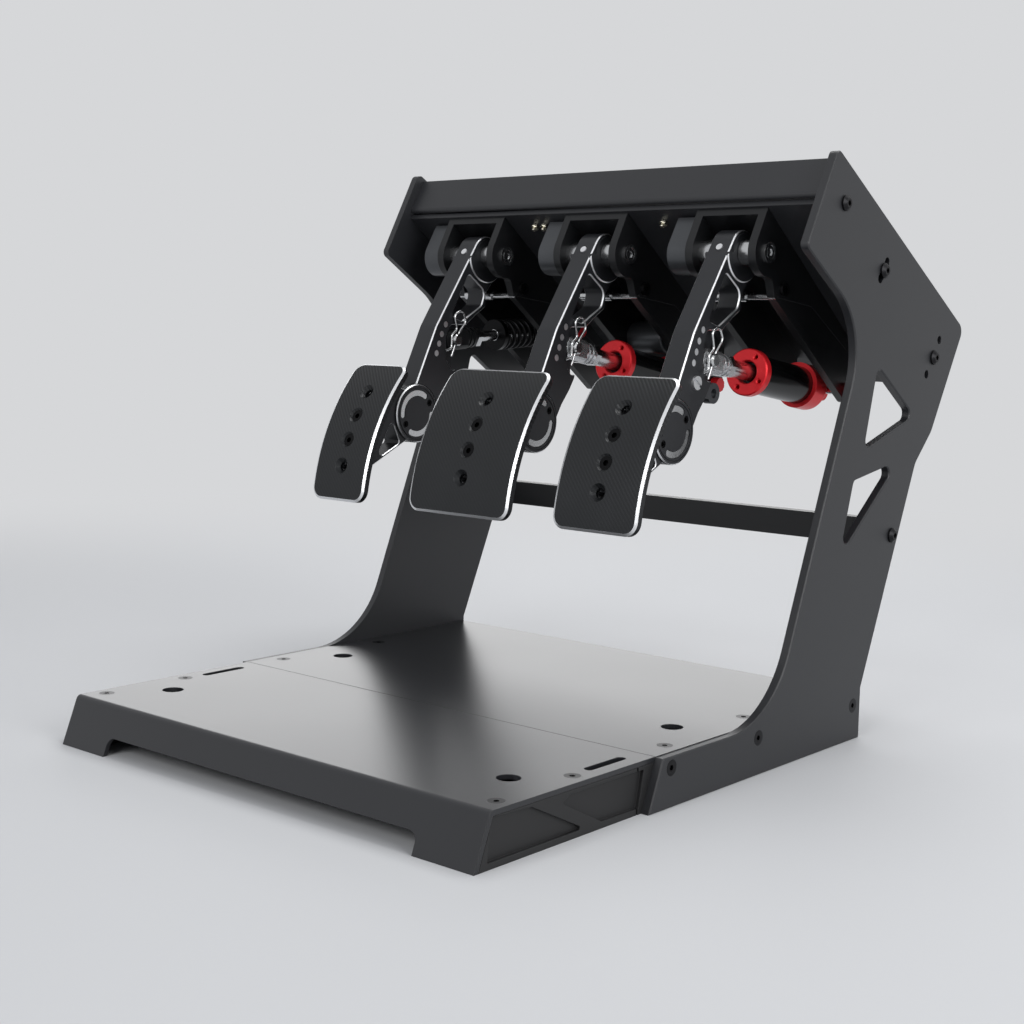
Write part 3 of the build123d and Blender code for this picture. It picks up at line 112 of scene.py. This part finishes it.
def seenDirectly(tree):  # 1 for what the camera sees straight on, in a reflection or through glass
    ray = addNode(tree, "LightPath", {})
    straight, glossy, through = (ray.outputs[f"Is {name} Ray"] for name in ("Camera", "Glossy", "Transmission"))
    seen = addNode(tree, "Math", {0: straight, 1: glossy}, operation="MAXIMUM").outputs[0]
    return addNode(tree, "Math", {0: seen, 1: through}, operation="MAXIMUM").outputs[0]


def makeFloor():
    mesh = bpy.data.meshes.new("studioFloor")
    reach = studio["floorReach"]
    corners = [(-reach, -reach, 0), (reach, -reach, 0), (reach, reach, 0), (-reach, reach, 0)]
    mesh.from_pydata(corners, [], [(0, 1, 2, 3)])
    floor = bpy.data.objects.new("studioFloor", mesh)
    bpy.context.collection.objects.link(floor)
    material = bpy.data.materials.new("paleStudioPaper")  # matt paper: no gloss, only the object's soft shadow
    material.use_nodes = True
    tree = material.node_tree
    shader = tree.nodes["Principled BSDF"]
    place = addNode(tree, "TexCoord", {}).outputs["Object"]
    fibres = addNode(tree, "TexNoise", {"Vector": place, "Scale": 1 / studio["fibre"], "Detail": 3.0})
    bump = addNode(tree, "Bump", {"Height": fibres.outputs["Fac"], "Strength": studio["fibreStrength"],
                                  "Distance": studio["fibreDepth"]})
    tree.links.new(bump.outputs["Normal"], shader.inputs["Normal"])
    shader.inputs["Base Color"].default_value = toLinear(studio["floor"])
    shader.inputs["Roughness"].default_value = studio["floorRoughness"]
    away = addNode(tree, "VectorMath", {0: place}, operation="LENGTH").outputs["Value"]
    near, far = studio["floorFade"]
    fade = addNode(tree, "MapRange", {"Value": away, "From Min": near, "From Max": far},
                   interpolation_type="SMOOTHSTEP").outputs["Result"]
    fade = addNode(tree, "Math", {0: fade, 1: seenDirectly(tree)}, operation="MULTIPLY").outputs[0]
    pale = addNode(tree, "Emission", {"Color": toLinear(studio["backdrop"]), "Strength": studio["backdropStrength"]})
    mixed = addNode(tree, "MixShader", {0: fade, 1: shader.outputs[0], 2: pale.outputs[0]})
    tree.links.new(mixed.outputs[0], tree.nodes["Material Output"].inputs["Surface"])
    mesh.materials.append(material)


def makeRoom():
    world = bpy.data.worlds.new("studioRoom")
    world.use_nodes = True
    tree = world.node_tree
    tree.nodes.clear()
    light = addNode(tree, "Background", {"Color": toLinear(studio["roomLight"]),
                                         "Strength": studio["roomStrength"]})
    pale = addNode(tree, "Background", {"Color": toLinear(studio["backdrop"]), "Strength": studio["backdropStrength"]})
    mixed = addNode(tree, "MixShader", {0: seenDirectly(tree), 1: light.outputs[0], 2: pale.outputs[0]})
    addNode(tree, "OutputWorld", {"Surface": mixed.outputs[0]})
    bpy.context.scene.world = world


def makeLamps():
    for name, (place, aim, width, height, watts) in studio["lamps"].items():
        lamp = bpy.data.lights.new(name, "AREA")
        lamp.shape = "RECTANGLE"
        lamp.size = width
        lamp.size_y = height
        lamp.energy = watts
        holder = bpy.data.objects.new(name, lamp)
        holder.location = place
        holder.rotation_euler = (Vector(aim) - Vector(place)).to_track_quat("-Z", "Y").to_euler()
        bpy.context.collection.objects.link(holder)


makeFloor()
makeRoom()
makeLamps()
bpy.context.scene.view_settings.view_transform = "Standard"
print("floor, room and lamps made")

# finishes

edgeSamples = 4  # rays that round an edge off; more only takes longer


def startMaterial(name):
    material = bpy.data.materials.new(name)
    material.use_nodes = True
    tree = material.node_tree
    return material, tree, tree.nodes["Principled BSDF"], addNode(tree, "TexCoord", {}).outputs["Object"]


def facetNormal(tree):  # which way each flat facet faces, seen from the object itself
    facet = addNode(tree, "NewGeometry", {}).outputs["True Normal"]
    return addNode(tree, "VectorTransform", {"Vector": facet}, vector_type="NORMAL",
                   convert_from="WORLD", convert_to="OBJECT").outputs["Vector"]


powderCoat = {
    "dark": "#202124",
    "light": "#26272a",
    "edge": 0.7 * millimetre,
    "patch": 70 * millimetre,
    "ripple": 1.3 * millimetre,  # orange peel, drawn about twice as coarse as it is so that it shows
    "rippleDepth": 0.025 * millimetre,
    "rippleStrength": 0.5,
    "roughness": (0.36, 0.46),
}


def makePowderCoat(name, look):
    # polyester powder on steel sheet: even charcoal with a wide soft sheen and a faint orange peel
    material, tree, shader, place = startMaterial(name)
    patches = addNode(tree, "TexNoise", {"Vector": place, "Scale": 1 / look["patch"], "Detail": 4.0}).outputs["Fac"]
    ripple = addNode(tree, "TexNoise", {"Vector": place, "Scale": 1 / look["ripple"], "Detail": 1.5}).outputs["Fac"]
    rounded = addNode(tree, "Bevel", {"Radius": look["edge"]}, samples=edgeSamples)  # the paint runs round an edge
    bump = addNode(tree, "Bump", {"Height": ripple, "Strength": look["rippleStrength"],
                                  "Distance": look["rippleDepth"], "Normal": rounded.outputs["Normal"]})
    colour = addNode(tree, "Mix", {"Factor": patches, 6: toLinear(look["dark"]), 7: toLinear(look["light"])},
                     data_type="RGBA")
    low, high = look["roughness"]
    rough = addNode(tree, "MapRange", {"Value": patches, "To Min": low, "To Max": high})
    tree.links.new(colour.outputs[2], shader.inputs["Base Color"])
    tree.links.new(rough.outputs["Result"], shader.inputs["Roughness"])
    tree.links.new(bump.outputs["Normal"], shader.inputs["Normal"])
    return material


anodised = {
    "grain": 0.5 * millimetre,  # bead blasting, drawn coarser than its 0.1 mm pits
    "grainDepth": 0.012 * millimetre,
    "grainStrength": 0.4,
    "patch": 25 * millimetre,
    "patchRoughness": 0.04,  # how far a patch's roughness strays from the rest
    "edge": 0.25 * millimetre,
    "machined": "#e4e5e7",
    "machinedRoughness": 0.36,
    "chamferAside": (0.68, 0.2),  # how far a chamfer faces across the frame, and how far off it may be
}


def makeAnodised(name, dark, light, roughness, metallic, edge=None):
    # bead-blasted and anodised aluminium: dyed oxide over metal, so the tone stays deep while the sheen is metallic;
    # where an edge mask is given, the chamfer was cut after dyeing and shows bare bright metal
    material, tree, shader, place = startMaterial(name)
    patches = addNode(tree, "TexNoise", {"Vector": place, "Scale": 1 / anodised["patch"], "Detail": 3.0}).outputs["Fac"]
    grain = addNode(tree, "TexNoise", {"Vector": place, "Scale": 1 / anodised["grain"], "Detail": 2.0}).outputs["Fac"]
    rounded = addNode(tree, "Bevel", {"Radius": anodised["edge"]}, samples=edgeSamples)  # dye runs round an edge too
    normal = addNode(tree, "Bump", {"Height": grain, "Strength": anodised["grainStrength"],
                                    "Distance": anodised["grainDepth"],
                                    "Normal": rounded.outputs["Normal"]}).outputs["Normal"]
    colour = addNode(tree, "Mix", {"Factor": patches, 6: toLinear(dark), 7: toLinear(light)},
                     data_type="RGBA").outputs[2]
    aside = anodised["patchRoughness"]
    rough = addNode(tree, "MapRange", {"Value": patches, "To Min": roughness - aside,
                                       "To Max": roughness + aside}).outputs["Result"]
    if edge:
        mask, height = edge(tree, place)
        if height:  # painted shade: the grooves between the lines are darkened, most towards the pad's top, and the bump presses them in
            colour = addNode(tree, "Mix", {"Factor": height, 6: toLinear(padLook["paintedGrooveShade"]), 7: colour},
                             data_type="RGBA").outputs[2]
            normal = addNode(tree, "Bump", {"Height": height, "Strength": padLook["lineStrength"],
                                            "Distance": padLook["lineDepth"], "Normal": normal}).outputs["Normal"]
        colour = addNode(tree, "Mix", {"Factor": mask, 6: colour, 7: toLinear(anodised["machined"])},
                         data_type="RGBA").outputs[2]
        rough = addNode(tree, "Mix", {"Factor": mask, 2: rough, 3: anodised["machinedRoughness"]}).outputs[0]
        metal = addNode(tree, "MapRange", {"Value": mask, "To Min": metallic, "To Max": 1.0})
        tree.links.new(metal.outputs["Result"], shader.inputs["Metallic"])
    else:
        shader.inputs["Metallic"].default_value = metallic
    tree.links.new(colour, shader.inputs["Base Color"])
    tree.links.new(rough, shader.inputs["Roughness"])
    tree.links.new(normal, shader.inputs["Normal"])
    return material


def sideChamfer(tree, place):  # a plate standing along the frame: its chamfers face halfway between side and rim
    across = addNode(tree, "SeparateXYZ", {"Vector": facetNormal(tree)}).outputs["X"]
    across = addNode(tree, "Math", {0: across}, operation="ABSOLUTE").outputs[0]
    aside, slack = anodised["chamferAside"]
    return addNode(tree, "Math", {0: across, 1: aside, 2: slack}, operation="COMPARE").outputs[0], None


padLook = {
    "centre": (0.0, 0.077878, 0.138603),  # the middle of the arc that the pads' faces follow
    "radius": 0.1588,
    "lineWidth": 2.3 * millimetre,  # a fine line and the gap beside it, a little coarser than it is so that it shows
    "lineDepth": 0.35 * millimetre,
    "lineStrength": 0.6,
    "lineTurn": 41.0,
    "fade": (136.0, 166.0, 0.25),  # degrees round the arc between which the lines fade, and what is left of them
    # painted shade laid in the grooves between the lines
    "paintedGrooveShade": "#0d0e0f",
    "chamferFacing": (0.72, 0.22),  # how far the chamfer faces out of the arc, and how far off it may be
    "pitch": 0.115,  # from one pedal's middle to the next
    "screwHalf": 10 * millimetre,  # the screw holes keep their dyed countersinks
    "screwAngles": (154.4, 15.5),  # degrees round the arc: their middle, and how far they reach each way
}


def padChamfer(tree, place):
    # the bright chamfer lies between face and rim, all round but not in the screw holes;
    # distance round the pad's arc and across it gives the fine slanting lines
    fromCentre = addNode(tree, "VectorMath", {0: place, 1: padLook["centre"]}, operation="SUBTRACT").outputs[0]
    flat = addNode(tree, "VectorMath", {0: fromCentre, 1: (0.0, 1.0, 1.0)}, operation="MULTIPLY").outputs[0]
    outward = addNode(tree, "VectorMath", {0: flat}, operation="NORMALIZE").outputs[0]
    facing = addNode(tree, "VectorMath", {0: outward, 1: facetNormal(tree)}, operation="DOT_PRODUCT").outputs["Value"]
    facing = addNode(tree, "Math", {0: facing}, operation="ABSOLUTE").outputs[0]
    outwards, slack = padLook["chamferFacing"]
    mask = addNode(tree, "Math", {0: facing, 1: outwards, 2: slack}, operation="COMPARE").outputs[0]
    parts = addNode(tree, "SeparateXYZ", {"Vector": fromCentre}).outputs
    fromMiddle = addNode(tree, "Math", {0: parts["X"], 1: padLook["pitch"] / 2}, operation="PINGPONG").outputs[0]
    besideScrews = addNode(tree, "Math", {0: fromMiddle, 1: padLook["screwHalf"]}, operation="GREATER_THAN").outputs[0]
    angle = addNode(tree, "Math", {0: parts["Z"], 1: parts["Y"]}, operation="ARCTAN2").outputs[0]
    middle, half = (math.radians(value) for value in padLook["screwAngles"])
    amongScrews = addNode(tree, "Math", {0: angle, 1: middle, 2: half}, operation="COMPARE").outputs[0]
    atEnds = addNode(tree, "Math", {0: 1.0, 1: amongScrews}, operation="SUBTRACT").outputs[0]
    atEdge = addNode(tree, "Math", {0: besideScrews, 1: atEnds}, operation="MAXIMUM").outputs[0]
    mask = addNode(tree, "Math", {0: mask, 1: atEdge}, operation="MULTIPLY").outputs[0]
    slant = math.radians(padLook["lineTurn"])
    around = addNode(tree, "Math", {0: angle, 1: padLook["radius"] * math.sin(slant)}, operation="MULTIPLY").outputs[0]
    across = addNode(tree, "Math", {0: parts["X"], 1: math.cos(slant)}, operation="MULTIPLY").outputs[0]
    along = addNode(tree, "Math", {0: across, 1: around}, operation="SUBTRACT").outputs[0]
    turns = addNode(tree, "Math", {0: along, 1: 2 * math.pi / padLook["lineWidth"]}, operation="MULTIPLY").outputs[0]
    lines = addNode(tree, "Math", {0: turns}, operation="SINE").outputs[0]
    hollow = addNode(tree, "MapRange", {"Value": lines, "From Min": 1.0, "From Max": -1.0}).outputs["Result"]
    top, foot, left = padLook["fade"]
    strength = addNode(tree, "MapRange", {"Value": angle, "From Min": math.radians(top),
                                          "From Max": math.radians(foot), "To Min": 1.0,
                                          "To Max": left}).outputs["Result"]
    hollow = addNode(tree, "Math", {0: hollow, 1: strength}, operation="MULTIPLY").outputs[0]
    unlined = addNode(tree, "Math", {0: 1.0, 1: mask}, operation="SUBTRACT").outputs[0]  # the lines stop at the chamfer
    hollow = addNode(tree, "Math", {0: hollow, 1: unlined}, operation="MULTIPLY").outputs[0]
    return mask, addNode(tree, "Math", {0: 1.0, 1: hollow}, operation="SUBTRACT").outputs[0]


turned = {
    "tone": ("#b9babb", "#d2d3d4"),
    "mark": 0.6 * millimetre,  # fine turning marks, drawn wider than they are
    "markDepth": 0.01 * millimetre,
    "markStrength": 0.3,
    "stain": 8 * millimetre,  # patches where the polish is a little duller
    "roughness": (0.16, 0.30),
}


def makeTurned(name, tones, roughness, oxide=None):
    # turned and polished steel: bright, nearly mirror-like, with faint marks from the tool;
    # where an oxide mask is given, those pieces of the set were blackened in a hot salt bath
    material, tree, shader, place = startMaterial(name)
    marks = addNode(tree, "TexNoise", {"Vector": place, "Scale": 1 / turned["mark"], "Detail": 2.0}).outputs["Fac"]
    stains = addNode(tree, "TexNoise", {"Vector": place, "Scale": 1 / turned["stain"], "Detail": 3.0}).outputs["Fac"]
    bump = addNode(tree, "Bump", {"Height": marks, "Strength": turned["markStrength"],
                                  "Distance": turned["markDepth"]})
    first, second = tones
    colour = addNode(tree, "Mix", {"Factor": stains, 6: toLinear(first), 7: toLinear(second)},
                     data_type="RGBA").outputs[2]
    low, high = roughness
    rough = addNode(tree, "MapRange", {"Value": stains, "To Min": low, "To Max": high}).outputs["Result"]
    if oxide:
        mask = oxide(tree, place)
        colour = addNode(tree, "Mix", {"Factor": mask, 6: colour, 7: toLinear(blackened["tone"])},
                         data_type="RGBA").outputs[2]
        rough = addNode(tree, "Mix", {"Factor": mask, 2: rough, 3: blackened["roughness"]}).outputs[0]
    tree.links.new(colour, shader.inputs["Base Color"])
    tree.links.new(rough, shader.inputs["Roughness"])
    tree.links.new(bump.outputs["Normal"], shader.inputs["Normal"])
    shader.inputs["Metallic"].default_value = 1.0
    return material


blackened = {
    "tone": "#1d1d1e",
    "roughness": 0.30,
    "padScrews": -0.045,  # the pad screws lie nearer to the driver than this
    "disc": (0.0, -0.007442, 0.215018),  # the middle of the adjuster's disc
    "discReach": 0.0185,  # out to the clamp screws round it
    "seatReach": 0.0043,  # the spring's seat is wider than its rod, and further from the pedal than the lock nut
    "seatStart": 0.045,
}


def screwOxide(tree, place):  # the pad screws, and those round the adjuster's disc
    ahead = addNode(tree, "SeparateXYZ", {"Vector": place}).outputs["Y"]
    fromDisc = addNode(tree, "VectorMath", {0: place, 1: blackened["disc"]}, operation="SUBTRACT").outputs[0]
    fromDisc = addNode(tree, "VectorMath", {0: fromDisc, 1: (0.0, 1.0, 1.0)}, operation="MULTIPLY").outputs[0]
    fromDisc = addNode(tree, "VectorMath", {0: fromDisc}, operation="LENGTH").outputs["Value"]
    inPad = addNode(tree, "Math", {0: ahead, 1: blackened["padScrews"]}, operation="LESS_THAN").outputs[0]
    inDisc = addNode(tree, "Math", {0: fromDisc, 1: blackened["discReach"]}, operation="LESS_THAN").outputs[0]
    return addNode(tree, "Math", {0: inPad, 1: inDisc}, operation="MAXIMUM").outputs[0]


clutchLink = {  # the clutch rod's own axis, from the clevis pin on
    "start": (-0.115, 0.032378, 0.269003),
    "along": (0.0, 0.997852, 0.065594),
}


def seatOxide(tree, place):  # the spring's seat on the clutch rod
    fromStart = addNode(tree, "VectorMath", {0: place, 1: clutchLink["start"]}, operation="SUBTRACT").outputs[0]
    offAxis = addNode(tree, "VectorMath", {0: fromStart, 1: clutchLink["along"]}, operation="CROSS_PRODUCT").outputs[0]
    offAxis = addNode(tree, "VectorMath", {0: offAxis}, operation="LENGTH").outputs["Value"]
    along = addNode(tree, "VectorMath", {0: fromStart, 1: clutchLink["along"]}, operation="DOT_PRODUCT")
    wide = addNode(tree, "Math", {0: offAxis, 1: blackened["seatReach"]}, operation="GREATER_THAN").outputs[0]
    far = addNode(tree, "Math", {0: along.outputs["Value"], 1: blackened["seatStart"]},
                  operation="GREATER_THAN").outputs[0]
    return addNode(tree, "Math", {0: wide, 1: far}, operation="MULTIPLY").outputs[0]


framePaint = makePowderCoat("satinPowderCoat", powderCoat)
# the heel sheets' powder is laid on thicker and bakes smoother, so lamps show in it as a clear pale sheen
heelCoat = dict(powderCoat, dark="#232427", light="#28292c", patch=120 * millimetre, roughness=(0.27, 0.30))
heelPaint = makePowderCoat("heelSheetPowderCoat", heelCoat)
crossbarShadedPaint = makePowderCoat("crossbarPowderCoatPaintedShade", dict(powderCoat, dark="#161719", light="#1b1c1e"))  # painted shade: a darker copy of the frame's powder coat, as the crossbar lies in shade
# glass-filled nylon from a mould: the same faint ripple, but duller and nearly black
railNylon = dict(powderCoat, dark="#161617", light="#1c1c1d", roughness=(0.5, 0.6))
railPlastic = makePowderCoat("mouldedBlackNylon", railNylon)
# milled brackets dyed black; the damper tubes are honed before the dye, so they gleam
bracketBlack = makeAnodised("bracketBlackAnodised", "#161719", "#1e1f21", 0.36, 0.35)
tubeBlack = makeAnodised("glossyBlackDamperTube", "#0f1011", "#161718", 0.18, 0.5)
# arms and pads dyed black, then chamfered: bright lines round satin charcoal
armBlack = makeAnodised("blackAnodisedBrightChamfers", "#26272a", "#2e2f32", 0.36, 0.35, sideChamfer)
padFinish = makeAnodised("linedBlackPadAluminium", "#1a1c1e", "#212326", 0.36, 0.35, padChamfer)
# undyed and coloured pieces: the paler the dye, the more the metal shows through
greyAnodised = makeAnodised("greyAnodisedAluminium", "#45474a", "#525457", 0.34, 0.6)
silverAnodised = makeAnodised("silverMachinedAluminium", "#cfd0d2", "#dfe0e2", 0.26, 0.9)
redAnodised = makeAnodised("redAnodisedAluminium", "#dc1c26", "#ec2a32", 0.30, 0.45)
# shafts, pins and rods are polished; screws and the spring are duller, oiled or lacquered black
brightSteel = makeTurned("polishedTurnedSteel", turned["tone"], turned["roughness"])
armScrewSteel = makeTurned("brightAndBlackenedScrewSteel", ("#dcdddf", "#ececee"), (0.34, 0.46), screwOxide)
clutchRodSteel = makeTurned("turnedClutchRodSteel", turned["tone"], turned["roughness"], seatOxide)
blackOxide = makeTurned("blackOxideScrewSteel", ("#242425", "#303032"), (0.34, 0.46))
springSteel = makeTurned("blackCoatedSpringSteel", ("#1c1c1d", "#262627"), (0.30, 0.42))
print("finishes made")

# which finish each part of the frame has

finishes = {
    "side_plate_left": framePaint,
    "side_plate_right": framePaint,
    "base_front_plate": heelPaint,
    "base_rear_plate": heelPaint,
    "base_rails": railPlastic,
    "base_screws": blackOxide,
    "side_screws": blackOxide,
    "frame_bolts": blackOxide,
    "deck_plate": framePaint,
    "front_beam": framePaint,
    "rear_crossbar": crossbarShadedPaint,
    "clutch_bracket": bracketBlack,
    "brake_bracket": bracketBlack,
    "throttle_bracket": bracketBlack,
    "sensor_housings": greyAnodised,
    "pivot_shafts": brightSteel,
    "pivot_bushes": brightSteel,
    "stop_bars": brightSteel,
    "bracket_bolts": blackOxide,
    "tail_pins": brightSteel,
    "tail_knobs": redAnodised,
    "brake_load_cell": greyAnodised,
    "throttle_tab": greyAnodised,
    "clutch_guide": bracketBlack,
    "clutch_spring": springSteel,
}
for pedal in pedalPlaces:
    finishes.update({
        pedal + "_arm": armBlack,
        pedal + "_pad_bracket": armBlack,
        pedal + "_pad": padFinish,
        pedal + "_adjuster_washer": brightSteel,
        pedal + "_arm_screws": armScrewSteel,
        pedal + "_clevis_pin": brightSteel,
        pedal + "_clip": brightSteel,
        pedal + "_clevis": bracketBlack if pedal == "clutch" else silverAnodised,
        pedal + "_rod": clutchRodSteel if pedal == "clutch" else brightSteel,
    })
for pedal in ("brake", "throttle"):
    finishes.update({
        pedal + "_damper_tube": tubeBlack,
        pedal + "_damper_flange": redAnodised,
        pedal + "_damper_collar": redAnodised,
    })
for name, material in finishes.items():
    for slot in nodes[name].material_slots:
        slot.material = material
bare = sorted(set(nodes) - set(finishes))
print("finishes given to", len(finishes), "parts; left over:", bare)

# lock nuts under the deck

deckNuts = {
    "places": (-0.064, -0.055, 0.053),  # across the frame
    "reach": 0.0736,  # from the frame's middle towards its back
    "below": 0.1,  # height from which the deck is felt for
    "radius": 3.2 * millimetre,  # across the corners of an M3 nut
    "height": 2.4 * millimetre,
    "studRadius": 1.5 * millimetre,
    "studLength": 4.5 * millimetre,
    "sides": 6,
    "studSides": 24,
    "edge": 0.4 * millimetre,
}


def makeDeckNuts():
    deck = nodes["deck_plate"]
    metal = makeTurned("zincPlatedNutSteel", ("#c4bfae", "#dcd8c8"), (0.22, 0.34))  # bright, a little yellow
    for number, across in enumerate(deckNuts["places"], 1):
        start = Vector((across, deckNuts["reach"], deckNuts["below"]))
        reached, foot, facing, _ = deck.ray_cast(start, Vector((0.0, 0.0, 1.0)))
        if not reached:
            continue
        shape = bmesh.new()
        for sides, radius, length in (
            (deckNuts["sides"], deckNuts["radius"], deckNuts["height"]),
            (deckNuts["studSides"], deckNuts["studRadius"], deckNuts["studLength"]),
        ):
            made = bmesh.ops.create_cone(shape, cap_ends=True, segments=sides, radius1=radius, radius2=radius,
                                         depth=length)
            bmesh.ops.translate(shape, verts=made["verts"], vec=(0.0, 0.0, length / 2))
        mesh = bpy.data.meshes.new(f"deckNut{number}")
        shape.to_mesh(mesh)
        shape.free()
        nut = bpy.data.objects.new(f"deckNut{number}", mesh)
        nut.location = foot
        nut.rotation_euler = facing.to_track_quat("Z", "Y").to_euler()
        bpy.context.collection.objects.link(nut)
        soften = nut.modifiers.new("edges", "BEVEL")
        soften.width = deckNuts["edge"]
        soften.segments = 2
        mesh.materials.append(metal)
        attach(nut, "frame")


makeDeckNuts()
print("deck nuts made")

# button head screws that hold the three brackets to the deck

deckScrews = {
    "besidePedal": (-0.019, 0.019),
    "reaches": (0.112, 0.172),
    "above": 0.6,  # height from which the deck is felt for
    "points": 24,
    "socket": 2.0 * millimetre,  # half the 4 mm key
    "rings": (  # radius and height, from the deck up over the dome
        (5.2 * millimetre, 0.0),
        (5.2 * millimetre, 0.7 * millimetre),
        (4.7 * millimetre, 1.9 * millimetre),
        (3.9 * millimetre, 2.7 * millimetre),
        (3.0 * millimetre, 3.1 * millimetre),
    ),
    "smoothRings": 3,  # the dome is smooth, the flat round the socket isn't
    "socketRings": (3.1 * millimetre, 1.1 * millimetre),
}


def hexagonReach(turn):  # from the middle of a hexagonal socket to its wall, in a given direction
    return deckScrews["socket"] / math.cos(turn % (math.pi / 3) - math.pi / 6)


def makeDeckScrews():
    deck = nodes["deck_plate"]
    turns = [2 * math.pi * step / deckScrews["points"] for step in range(deckScrews["points"])]
    rings = [[(radius * math.cos(turn), radius * math.sin(turn), height) for turn in turns]
             for radius, height in deckScrews["rings"]]
    rings += [[(hexagonReach(turn) * math.cos(turn), hexagonReach(turn) * math.sin(turn), height) for turn in turns]
              for height in deckScrews["socketRings"]]
    for pedal, place in pedalPlaces.items():
        shape = bmesh.new()
        for aside in deckScrews["besidePedal"]:
            for reach in deckScrews["reaches"]:
                start = Vector((place + aside, reach, deckScrews["above"]))
                reached, foot, facing, _ = deck.ray_cast(start, Vector((0.0, 0.0, -1.0)))
                if not reached:
                    continue
                toDeck = Matrix.Translation(foot) @ facing.to_track_quat("Z", "Y").to_matrix().to_4x4()
                rows = [[shape.verts.new(toDeck @ Vector(point)) for point in ring] for ring in rings]
                for row, (lower, upper) in enumerate(zip(rows, rows[1:])):
                    for here in range(len(turns)):
                        beside = (here + 1) % len(turns)
                        side = shape.faces.new((lower[here], lower[beside], upper[beside], upper[here]))
                        side.smooth = row < deckScrews["smoothRings"]
                shape.faces.new(rows[-1])
                shape.faces.new(list(reversed(rows[0])))
        mesh = bpy.data.meshes.new(pedal + "BracketScrews")
        shape.to_mesh(mesh)
        shape.free()
        screws = bpy.data.objects.new(pedal + "BracketScrews", mesh)
        bpy.context.collection.objects.link(screws)
        mesh.materials.append(blackOxide)
        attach(screws, "frame")


makeDeckScrews()
print("deck screws made")
